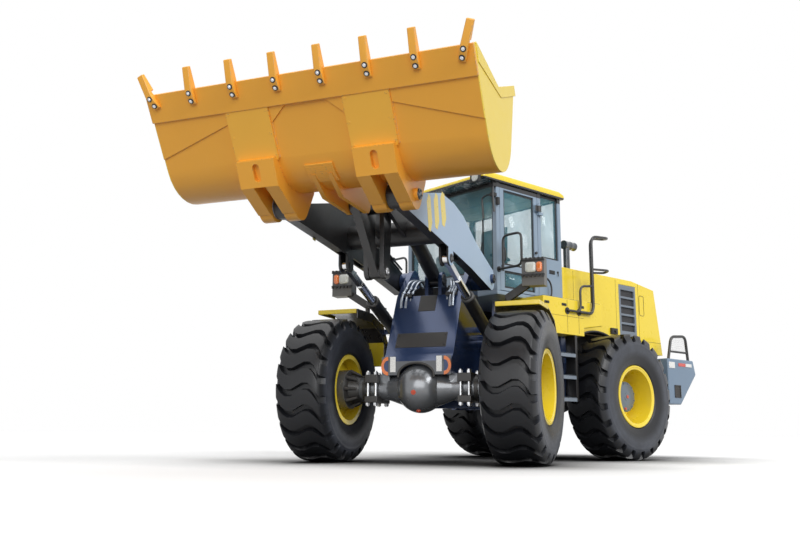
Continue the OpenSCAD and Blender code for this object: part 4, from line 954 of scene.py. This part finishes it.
APRON_X, APRON_Z = (1.846, 1.858), (0.93, 1.076)
arch = [(0.2 * cos(radians(a)), APRON_Z[0] + 0.126 * sin(radians(a))) for a in range(0, 181, 9)]
for (y0, z0), (y1, z1) in zip(arch, arch[1:]):
    edge = ((y0, z0), (y0, APRON_Z[1]), (y1, APRON_Z[1]), (y1, z1))
    slab(apron, *([(x, y, z) for y, z in edge] for x in APRON_X))
for side in (1, -1):
    box(apron, APRON_X, span(side, 0.2, 0.392), APRON_Z)
    box(apron, APRON_X, span(side, 0.235, 0.392), (1.07, 1.128))
pipe(rim_edge, [(1.855, 0.205, 0.905)] + [(1.855, y * 1.01, z) for y, z in arch] + [(1.855, -0.205, 0.905)],
     0.013, 10)
chin_grey = enamel("apron_grey", (0.085, 0.095, 0.110), rough=0.4, coat=0.2, dust=0.15)
piece("face_band", band, enamel("band_black", (0.017, 0.016, 0.016), rough=0.5, coat=0.1, dust=0.1),
      ON_FRONT, 0.002)
piece("axle_apron", apron, chin_grey, ON_FRONT)
piece("apron_edge", rim_edge, rubber_black, ON_FRONT)
for side, word in SIDES:
    pale, amber, dark = blanks(3)
    box(pale, (1.857, 1.863), span(side, 0.232, 0.294), (0.961, 1.125))
    box(pale, (1.862, 1.8645), span(side, 0.237, 0.289), (0.966, 1.120))
    half_disc = [(0.099 * sin(radians(a)), 0.099 * cos(radians(a))) for a in range(0, 181, 12)]
    for r0, r1, bm, x0, x1 in ((1.0, 0.62, amber, 1.857, 1.866), (0.62, 0.0, dark, 1.857, 1.8625)):
        ring = [(side * (0.318 + 0.8 * r0 * a), 1.026 + r0 * b) for a, b in half_disc]
        if r1:
            ring += [(side * (0.318 + 0.8 * r1 * a), 1.026 + r1 * b) for a, b in reversed(half_disc)]
        slab(bm, *([(x, y, z) for y, z in ring] for x in (x0, x1)))
    piece(f"face_reflector_white_{word}", pale, white_lens, ON_FRONT)
    piece(f"face_reflector_orange_{word}", amber, orange_lens, ON_FRONT)
    piece(f"face_reflector_base_{word}", dark, navy_enamel, ON_FRONT)
pins = bmesh.new()
for side in (1, -1):
    for pin, y, r in ((ARM_PIVOT, 0.633, 0.050), (LIFT_BASE, 0.630, 0.060), (TILT_BASE, 0.101, 0.070)):
        stub(pins, side, pin, (y - 0.001, y + 0.009), r, r - 0.003, n=32)
        bolt_ring(pins, (pin[0], side * (y + 0.009), pin[1]), (0, side, 0), r * 0.62, 4, 0.009, pi / 4)
piece("tower_pin_caps", pins, black_enamel, ON_FRONT)

# Tower pipework: bent steel pipes from the valve down the inside of the tower, with the control valve
# behind the face.
# Zinc-grey pipe with flared nuts, held by clamps on the tower plates.
pipes, valve = blanks(2)
pipe_grey = plated("pipe_grey", (0.42, 0.46, 0.52), 0.34)
for side in (1, -1):
    for k, y in enumerate((0.305, 0.262, 0.219)):
        dx = 0.03 * k
        pipe(pipes, on(side, [(1.52 - dx, y, 1.705), (1.50 - dx, y, 1.80), (1.44 - dx, y, 1.885),
                              (1.36 - dx, y, 1.945), (1.30 - dx, y - 0.02, 2.03), (1.18 - dx, y - 0.05, 2.07),
                              (1.06 - dx, y - 0.06, 2.04), (1.02 - dx, y - 0.06, 1.94)]), 0.0145, 10, 5)
        for x, z in ((1.44 - dx, 1.885), (1.36 - dx, 1.945)):
            rod(pipes, (x - 0.016, side * y, z + 0.011), (x + 0.016, side * y, z - 0.011), 0.021, n=6)
    box(valve, (1.36, 1.46), span(side, 0.20, 0.329), (1.835, 1.872))
box(valve, (0.96, 1.12), (-0.30, 0.30), (1.86, 1.99))
for k in range(5):
    rod(valve, (1.04, -0.24 + 0.12 * k, 1.99), (1.04, -0.24 + 0.12 * k, 2.02), 0.03, 0.026, n=20)
piece("tower_pipes", pipes, pipe_grey, ON_FRONT)
piece("control_valve", valve, black_iron, ON_FRONT, 0.006)

# Front fenders: folded steel guards over the front tyres, bolted to the outriggers.
# Yellow outside, with a near-black painted shade on the faces that look down and on the inner web, and folded
# lips along the front and the outer edge.
def beyond(half_y):
    """Mask of what lies further out than a distance from the front half's middle plane."""
    def mask(paint):
        own = paint.add("Mapping", {"Vector": paint.at, "Location": PIVOT, "Rotation": (0, 0, STEERED)},
                        vector_type="TEXTURE")
        return paint.math("GREATER_THAN", paint.math("ABSOLUTE", paint.part(own, "Y"), 0), half_y)
    return mask


def fender_shade_mask(paint):
    """Mask of the painted shade: the faces that look down and the inner web."""
    down = paint.math("LESS_THAN", paint.part(paint.add("NewGeometry", out="True Normal"), "Z"), -0.25)
    return paint.math("MAXIMUM", down, paint.math("SUBTRACT", 1.0, beyond(0.8155)(paint)))


# The second colour is a near-black painted shade where shade falls under the fenders.
dress("front_fenders", enamel("fender_enamel", YELLOW, rough=0.28, coat=0.45, dust=0.05, mask=fender_shade_mask,
                              second=(0.016, 0.0135, 0.012)), 0.006)
fender_bolts, lips = blanks(2)
FENDER_BACK, FENDER_FRONT, FENDER_TOP, LIP_DROP = AXLE_REACH - 0.470, AXLE_REACH - 0.038, 1.711, 0.044
lip_z, lip_edge = (FENDER_TOP - LIP_DROP, FENDER_TOP + 0.0005), FENDER_TOP - LIP_DROP
bolt_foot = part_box("front_fenders")[1][2] + 0.0002
for side in (1, -1):
    for x in (1.02, 1.24, 1.46):
        bolt_ring(fender_bolts, (x, side * 0.90, bolt_foot), (0, 0, 1), 0.0, 1, 0.011)
    across = span(side, 0.816, 1.296)
    box(lips, (FENDER_FRONT - 0.004, FENDER_FRONT + 0.008), across, lip_z)
    stub(lips, 1, (FENDER_FRONT, lip_edge), across, 0.008, n=16)
    box(lips, (FENDER_BACK, FENDER_FRONT + 0.008), span(side, 1.288, 1.300), lip_z)
    rod(lips, (FENDER_BACK, side * 1.294, lip_edge), (FENDER_FRONT, side * 1.294, lip_edge), 0.008, n=16)
piece("fender_lips", lips, yellow_enamel, ON_FRONT, 0.003)
piece("fender_bolts", fender_bolts, zinc, ON_FRONT)

# Headlamps: boxes on bent posts over the fenders, each with a clear lamp and an orange indicator.
# Grey moulded housings, black toothed stone guards above and below prismatic lenses.
housing_grey = enamel("housing_grey", (0.105, 0.104, 0.104), rough=0.5, coat=0.1, dust=0.1,
                      mask=above(1.9225, "LESS_THAN"), second=(0.012, 0.012, 0.013))
dress("headlamps", housing_grey, 0.012)
for side, word in SIDES:
    visor, clear, amber, arm = blanks(4)
    for z, up in ((2.207, 1), (2.044, -1)):
        box(visor, (1.27, 1.306), span(side, 1.030, 1.290), (z - 0.007, z + 0.007))
        for k in range(6):
            y = 1.036 + 0.0455 * k
            box(visor, (1.27, 1.311), span(side, y, y + 0.022), sorted((z, z + up * 0.026)))
    for bm, low, high in ((clear, 1.074, 1.196), (amber, 1.199, 1.266)):
        rim = rounded((low, 2.068), (high, 2.185), 0.03, 5)
        middle = ((low + high) / 2, 2.1265)
        layers = []
        for share, x in ((1.0, 1.288), (1.0, 1.296), (0.93, 1.303), (0.7, 1.308), (0.35, 1.310)):
            layers.append([bm.verts.new((x, side * (middle[0] + share * (y - middle[0])),
                                         middle[1] + share * (z - middle[1])))
                           for y, z in rim])
        for lower, upper in zip(layers, layers[1:]):
            for k in range(len(rim)):
                bm.faces.new((lower[k], lower[(k + 1) % len(rim)], upper[(k + 1) % len(rim)], upper[k]))
        bm.faces.new(layers[0])
        bm.faces.new(list(reversed(layers[-1])))
    lean = Vector((0, side * 0.31, 0.1995)).normalized()
    wide = Vector((0, -lean.z, lean.y)) * 0.041
    low, high = Vector((1.215, side * 0.845, 1.797)), Vector((1.215, side * 1.085, 1.9515))
    for x in (1.182, 1.240):
        ring = (low - wide, high - wide, high + wide, low + wide)
        slab(arm, *([(plane, p.y, p.z) for p in ring] for plane in (x, x + 0.008)))
    piece(f"lamp_visor_{word}", visor, rubber_black, ON_FRONT)
    piece(f"lamp_lens_{word}", clear, glow_lens, ON_FRONT)
    piece(f"lamp_indicator_{word}", amber, orange_lens, ON_FRONT)
    piece(f"lamp_bracket_{word}", arm, black_enamel, ON_FRONT)

# Loader arms: two deep plate arms tied by a tube, with cheeks for the bell crank between them.
# Steel blue on the outer faces, lightened in part as a painted highlight; everywhere else a near-black
# painted shade. Three plain yellow bars and bolted pin keepers.
# The near-black base is a painted shade on the arms' inner and under faces; the outer faces' blue, lighter
# than the cab's, is partly a painted highlight.
dress("boom", enamel("arm_enamel", (0.0075, 0.0075, 0.0085), rough=0.44, coat=0.12, dust=0.0,
                     mask=beyond(0.5995), second=(0.43, 0.57, 0.75)), 0.007)
ON_ARMS = ("loader_arms", FRONT)
CRANK_PIN, LIFT_EYE, LIFT_Y = (2.940, 2.530), (2.480, 2.035), 0.551
bars, caps, lines = blanks(3)
for side in (1, -1):
    for top, bottom, wide in (((3.150, 2.520), (3.096, 2.168), 0.10), ((2.946, 2.585), (2.900, 2.232), 0.115),
                              ((2.748, 2.650), (2.690, 2.305), 0.125)):
        prism(bars, [(bottom[0] - wide / 2, bottom[1] + 0.10), (bottom[0] - wide * 0.05, bottom[1]),
                     (bottom[0] + wide / 2, bottom[1] + 0.01), (top[0] + wide / 2, top[1] - 0.085),
                     (top[0] + wide * 0.05, top[1]), (top[0] - wide / 2, top[1] - 0.012)],
              span(side, 0.6025, 0.6042))
    stub(caps, side, CRANK_PIN, (0.159, 0.171), 0.075, 0.07, n=36)
    bolt_ring(caps, (CRANK_PIN[0], side * 0.171, CRANK_PIN[1]), (0, side, 0), 0.05, 4, 0.010, pi / 4)
    stub(caps, side, LIFT_EYE, (0.608, 0.616), 0.046, 0.042, n=32)
    bolt_ring(caps, (LIFT_EYE[0], side * 0.616, LIFT_EYE[1]), (0, side, 0), 0.028, 2, 0.008)
    for y in (0.47, 0.435):
        pipe(lines, on(side, [(1.18, y, 2.22), (1.62, y, 2.335), (2.05, y, 2.50), (2.30, y, 2.54)]), 0.012,
             10)
    for x, z in ((1.45, 2.2905), (1.95, 2.462)):
        box(lines, (x - 0.022, x + 0.022), span(side, 0.418, 0.502), (z - 0.018, z + 0.018))
piece("arm_bars", bars, yellow_enamel, ON_ARMS)
piece("arm_pin_caps", caps, black_enamel, ON_ARMS)
piece("arm_pipes", lines, black_enamel, ON_ARMS)

# Bell crank and link: thick cut plates and a forged link that turn the lift of one cylinder into bucket tilt.
# Black enamel worn bright at its edges, with bolted caps and grease nipples on the pins.
worn_black = enamel("worn_black", (0.012, 0.0125, 0.014), rough=0.3, coat=0.4, dust=0.05, chips=0.35,
                    bare=(0.2, 0.19, 0.18))
LINK_LOW, ROD_PIN = (2.950, 1.850), (3.010, 2.960)
dress("bell_crank", worn_black, 0.008)
dress("bucket_link", worn_black, 0.008)
nipples = bmesh.new()
for side in (1, -1):
    for pin in (LINK_LOW, ROD_PIN):
        stub(nipples, side, pin, (0.111, 0.119), 0.034, 0.030, n=28)
        bolt_ring(nipples, (pin[0], side * 0.119, pin[1]), (0, side, 0), 0.018, 2, 0.007)
        stub(nipples, side, pin, (0.119, 0.130), 0.005, 0.003, n=8)
piece("crank_pin_caps", nipples, zinc, ("bell_crank", FRONT))

# Cylinders: honed tubes with a threaded gland at the mouth, and hard-chromed rods.
# Black enamel barrels with a steel pipe to the gland, held by bands; bright rods with a faint turned grain.
chrome = Paint("hard_chrome")
grain = chrome.noise(90.0, 6.0, 0.7)
rod_chrome = chrome.finish({
    "Base Color": chrome.mix(grain, (0.62, 0.64, 0.66, 1), (0.86, 0.87, 0.88, 1)), "Metallic": 1.0,
    "Roughness": chrome.ramp(grain, 0, 1, 0.07, 0.24)})


def along(a, b, y):
    """A frame with X from one pin to another in the front half, and Z up."""
    angle = atan2(b[1] - a[1], b[0] - a[0])
    return FRONT @ Matrix.Translation((a[0], y, a[1])) @ Matrix.Rotation(-angle, 4, "Y")


for name, a, b, y, r, length, bore in (
        ("tilt_barrel", TILT_BASE, ROD_PIN, 0, 0.0825, 1.03, 0.0505),
        ("lift_barrel_left", LIFT_BASE, LIFT_EYE, LIFT_Y, 0.07, 1.08, 0.0455),
        ("lift_barrel_right", LIFT_BASE, LIFT_EYE, -LIFT_Y, 0.07, 1.08, 0.0455)):
    dress(name, black_enamel, 0.005)
    dress(name.replace("barrel", "rod"), rod_chrome, 0.003)
    barrel = (name, along(a, b, y))
    gland, feed_pipe = blanks(2)
    turned(gland, [(bore + 0.0035, length + 0.0005), (bore + 0.0035, length + 0.012),
                   (r - 0.012, length + 0.012), (r - 0.004, length + 0.006), (r + 0.0045, length - 0.004),
                   (r + 0.0045, length - 0.055), (r - 0.002, length - 0.06), (r - 0.002, length + 0.0005),
                   (bore + 0.0035, length + 0.0005)], (0, 0, 0), (1, 0, 0), 40)
    for k in range(8):
        angle = pi * k / 4
        rod(gland, (length - 0.03, (r + 0.002) * cos(angle), (r + 0.002) * sin(angle)),
            (length - 0.03, (r + 0.0065) * cos(angle), (r + 0.0065) * sin(angle)), 0.008, n=10)
    piece(name + "_gland", gland, black_iron, barrel)
    over = r + 0.020
    pipe(feed_pipe, [(0.19, 0, r - 0.003), (0.19, 0, over - 0.004), (0.215, 0, over),
                     (length - 0.125, 0, over), (length - 0.10, 0, over - 0.004),
                     (length - 0.10, 0, r - 0.003)], 0.0105, 10)
    for x in (0.19, length - 0.10):
        rod(feed_pipe, (x, 0, r - 0.004), (x, 0, r + 0.01), 0.02, 0.018, n=16)
    for x in (0.42, 0.72):
        turned(feed_pipe, [(r - 0.001, x), (r + 0.003, x), (r + 0.003, x + 0.022), (r - 0.001, x + 0.022),
                           (r - 0.001, x)], (0, 0, 0), (1, 0, 0), 36)
        box(feed_pipe, (x, x + 0.022), (-0.018, 0.018), (r - 0.002, over + 0.014))
    piece(name + "_pipe", feed_pipe, black_enamel, barrel)

# Bucket: a rolled shell with box hinge brackets, wear plates, corner plates and a bolted tooth edge.
# Yellow paint drawn in an amber painted shade, scuffed where earth slides along it; the side plates keep the
# plain yellow. Bright bolts hold the teeth, each ringed by a black disc that paints the shade of its
# counterbore.
# Yellow paint darkened toward orange as a painted shade, shared by the shell, the cutting edge and the teeth.
YELLOW_IN_PAINTED_SHADE = (0.94, 0.44, 0.045)
TILT = radians(59.5)
HINGE_PIN, HINGE_BACK, HINGE_RISE = (3.840, 2.320), 1.187, 0.230
LIP = (HINGE_PIN[0] + HINGE_BACK * cos(TILT) + HINGE_RISE * sin(TILT),
       HINGE_PIN[1] + HINGE_BACK * sin(TILT) - HINGE_RISE * cos(TILT))
ON_BUCKET = ("bucket", FRONT @ Matrix.Translation((LIP[0], 0, LIP[1])) @ Matrix.Rotation(-TILT, 4, "Y"))
# Amber painted shade everywhere but the side plates, which take the plain yellow as their second colour.
bucket_enamel = enamel("bucket_enamel", YELLOW_IN_PAINTED_SHADE, rough=0.42, coat=0.12, dust=0.0, chips=0.25,
                       bare=(0.30, 0.20, 0.12), mask=beyond(1.4935), second=(0.95, 0.71, 0.075))
dress("bucket_shell", bucket_enamel, 0.006)
edge_enamel = enamel("edge_enamel", YELLOW_IN_PAINTED_SHADE, rough=0.45, coat=0.1, dust=0.0, chips=0.8, bare=(0.42, 0.36, 0.30))
dress("cutting_edge", edge_enamel, 0.004)
dress("bucket_teeth", edge_enamel, 0.006)


def flat(bm, outline, z):
    """A plate with an outline in X and Y between two Z planes."""
    slab(bm, *([(x, y, plane) for x, y in outline] for plane in z))


plates, sides, welds, bolts, bolt_shade, keepers, faces = blanks(7)
for side in (1, -1):
    flat(plates, [(-0.246, side * 0.7615), (-0.350, side * 0.7615), (-0.580, side * 1.4985),
                  (-0.246, side * 1.4985)], (-0.014, 0.001))
    flat(plates, [(-0.246, side * 0.3405), (-0.385, side * 0.3405), (-0.246, side * 0.180)], (-0.014, 0.001))
    prism(sides, [(-0.005, 0.03), (-0.012, 0.062), (-0.424, 0.545), (-0.505, 1.12), (-0.60, 1.12),
                  (-0.522, 0.585), (-0.15, 0.03)], span(side, 1.4985, 1.5065))
    for y in (0.3405, 0.7615):
        pipe(welds, on(side, [(-0.285, y, -0.001), (-0.685, y, -0.001)]), 0.008, 8)
    box(plates, (-0.281, -0.2462), span(side, 0.341, 0.761), (-0.024, 0.001))
    pipe(welds, on(side, [(-0.351, 0.765, -0.001), (-0.581, 1.494, -0.001)]), 0.006, 8)
    pipe(welds, on(side, [(-0.247, 0.19, -0.012), (-0.247, 1.494, -0.012)]), 0.006, 8)
    stub(keepers, side, (-HINGE_BACK, HINGE_RISE), (0.765, 0.776), 0.050, 0.047, n=32)
    bolt_ring(keepers, (-HINGE_BACK, side * 0.776, HINGE_RISE), (0, side, 0), 0.03, 4, 0.009)
pipe(welds, [(-0.247, -0.18, -0.012), (-0.247, 0.18, -0.012)], 0.006, 8)
steps = [radians(-79 + 27 * k / 10) for k in range(11)]
for a0, a1 in zip(steps, steps[1:]):
    ring = [(-0.7 - r * cos(a), 0.405 + r * sin(a)) for r, a in ((0.404, a0), (0.421, a0), (0.421, a1),
                                                                 (0.404, a1))]
    prism(plates, ring, (-0.132, 0.132))
TEETH, TOOTH_Y, END_TURN = 8, 1.44, radians(20)
for k in range(TEETH):
    y = -TOOTH_Y + 2 * TOOTH_Y * k / (TEETH - 1)
    turn = END_TURN * (1 if k == TEETH - 1 else -1 if k == 0 else 0)
    spot = Matrix.Translation((0, y, 0)) @ Matrix.Rotation(turn, 4, "Z")
    for x, z, tip in ((-0.030, -0.083, 0), (-0.098, -0.0715, 0.35)):
        at = spot @ Vector((x, 0, z))
        out = spot.to_3x3() @ Vector((-tip, 0, -1)).normalized()
        # A black disc round each tooth bolt: a painted shade standing in for the dark of its counterbore.
        rod(bolt_shade, at - out * 0.004, at + out * 0.0035, 0.0255, 0.0235, n=24)
        rod(bolts, at, at + out * 0.0075, 0.0155, 0.0145, n=20)
        rod(bolts, at + out * 0.007, at + out * 0.0105, 0.010, 0.008, n=6)
for side in (1, -1):
    box(faces, (-0.700, -0.2465), span(side, 0.346, 0.756), (-0.0262, -0.0235))
    for x in (-0.27, -0.47, -0.66):
        for y in (0.37, 0.732):
            rod(faces, (x, side * y, -0.0255), (x, side * y, -0.0285), 0.012, 0.010, n=16)
# A lighter, yellower copy of the bucket paint on the wear plates' faces: a painted highlight that sets them
# off from the shell. The edge chips are real wear.
wear_plate_highlight = enamel("wear_plate_highlight", (1.0, 0.51, 0.055), rough=0.42, coat=0.12, dust=0.0, chips=0.2,
                     bare=(0.30, 0.20, 0.12))
piece("wear_faces", faces, wear_plate_highlight, ON_BUCKET)
piece("corner_plates", plates, bucket_enamel, ON_BUCKET, 0.003)
piece("side_cutters", sides, bucket_enamel, ON_BUCKET, 0.003)
piece("bucket_welds", welds, edge_enamel, ON_BUCKET)
piece("tooth_bolt_shade", bolt_shade, rubber_black, ON_BUCKET)
piece("tooth_bolts", bolts, zinc, ON_BUCKET)
piece("hinge_pin_keepers", keepers, black_enamel, ON_BUCKET)

# Studio: a pale floor that runs out to white under an even white surround, darkened near the machine by a
# painted contact shadow.
# A broad key lamp stands to the left, one overhead and a soft low one in front. All are plain in level:
# the background is white for the rays that show it and dimmer for those that light the machine.
FLOOR_BOUNCE, SURROUND_LIGHT = 0.22, 0.29
PAINTED_SHADOW_REACH, PAINTED_SHADOW_DEPTH = 1.7, 2.4


def showing(graph):
    """1 for the rays that show the background: from the camera, off gloss and through glass."""
    camera, glossy, through = (graph.add("LightPath", out=f"Is {kind} Ray")
                               for kind in ("Camera", "Glossy", "Transmission"))
    return graph.math("MAXIMUM", graph.math("MAXIMUM", camera, glossy), through)


floor_mesh = bpy.data.meshes.new("studio_floor")
floor_mesh.from_pydata([(-300, -300, 0), (300, -300, 0), (300, 300, 0), (-300, 300, 0)], [], [(0, 1, 2, 3)])
pale = Paint("pale_floor")
# Painted shadow: for the rays that show the floor, its colour darkens with ambient occlusion close to the
# machine, on top of the lamps' own shadows.
painted_contact_shadow = pale.add("AmbientOcclusion", {"Distance": PAINTED_SHADOW_REACH}, "AO", samples=12)
cover = pale.mix(showing(pale), (FLOOR_BOUNCE, FLOOR_BOUNCE, FLOOR_BOUNCE, 1),
                 pale.math("POWER", painted_contact_shadow, PAINTED_SHADOW_DEPTH))
floor_mesh.materials.append(pale.finish({"Base Color": cover, "Roughness": 0.9, "Specular IOR Level": 0.0}))
stand("studio_floor", floor_mesh)

world = bpy.data.worlds.new("studio")
world.use_nodes = True
bpy.context.scene.world = world
sky = Graph(world.node_tree)
sky.put(sky.tree.nodes["Background"], {"Color": (1, 1, 1, 1),
                                       "Strength": sky.ramp(showing(sky), 0, 1, SURROUND_LIGHT, 1.0)})


def toward(azimuth, elevation):
    """The direction with these two angles, in degrees."""
    turn, rise = radians(azimuth), radians(elevation)
    return Vector((cos(rise) * cos(turn), cos(rise) * sin(turn), sin(rise)))


for name, power, spread, azimuth, elevation in (("key", 1.65, 30, 95, 32), ("top", 1.2, 70, 60, 86),
                                                ("front_fill", 1.65, 50, 38, 14)):
    light = bpy.data.lights.new(name, "SUN")
    light.energy, light.angle = power, radians(spread)
    stand(name, light).rotation_euler = (-toward(azimuth, elevation)).to_track_quat("-Z", "Y").to_euler()

# Camera: low, ahead and to the left of the machine, as in the photograph.
# Its place, its turn and its lens were fitted to points read from the photograph.
EYE, HEADING, ROLL, LENS_MM = (7.224, 6.609, 0.309), (228.817, 11.010), 0.397, 38.74
view = bpy.data.cameras.new("camera")
view.sensor_width, view.lens = 36, LENS_MM
eye = stand("camera", view)
ahead, roll = toward(*HEADING), radians(ROLL)
level_right = ahead.cross(Vector((0, 0, 1))).normalized()
level_up = level_right.cross(ahead)
right = level_right * cos(roll) + level_up * sin(roll)
up = level_up * cos(roll) - level_right * sin(roll)
axes = Matrix((right, up, -ahead)).transposed().to_4x4()
eye.matrix_world = Matrix.Translation(EYE) @ axes
bpy.context.scene.camera = eye
bpy.context.scene.view_settings.view_transform = "Standard"
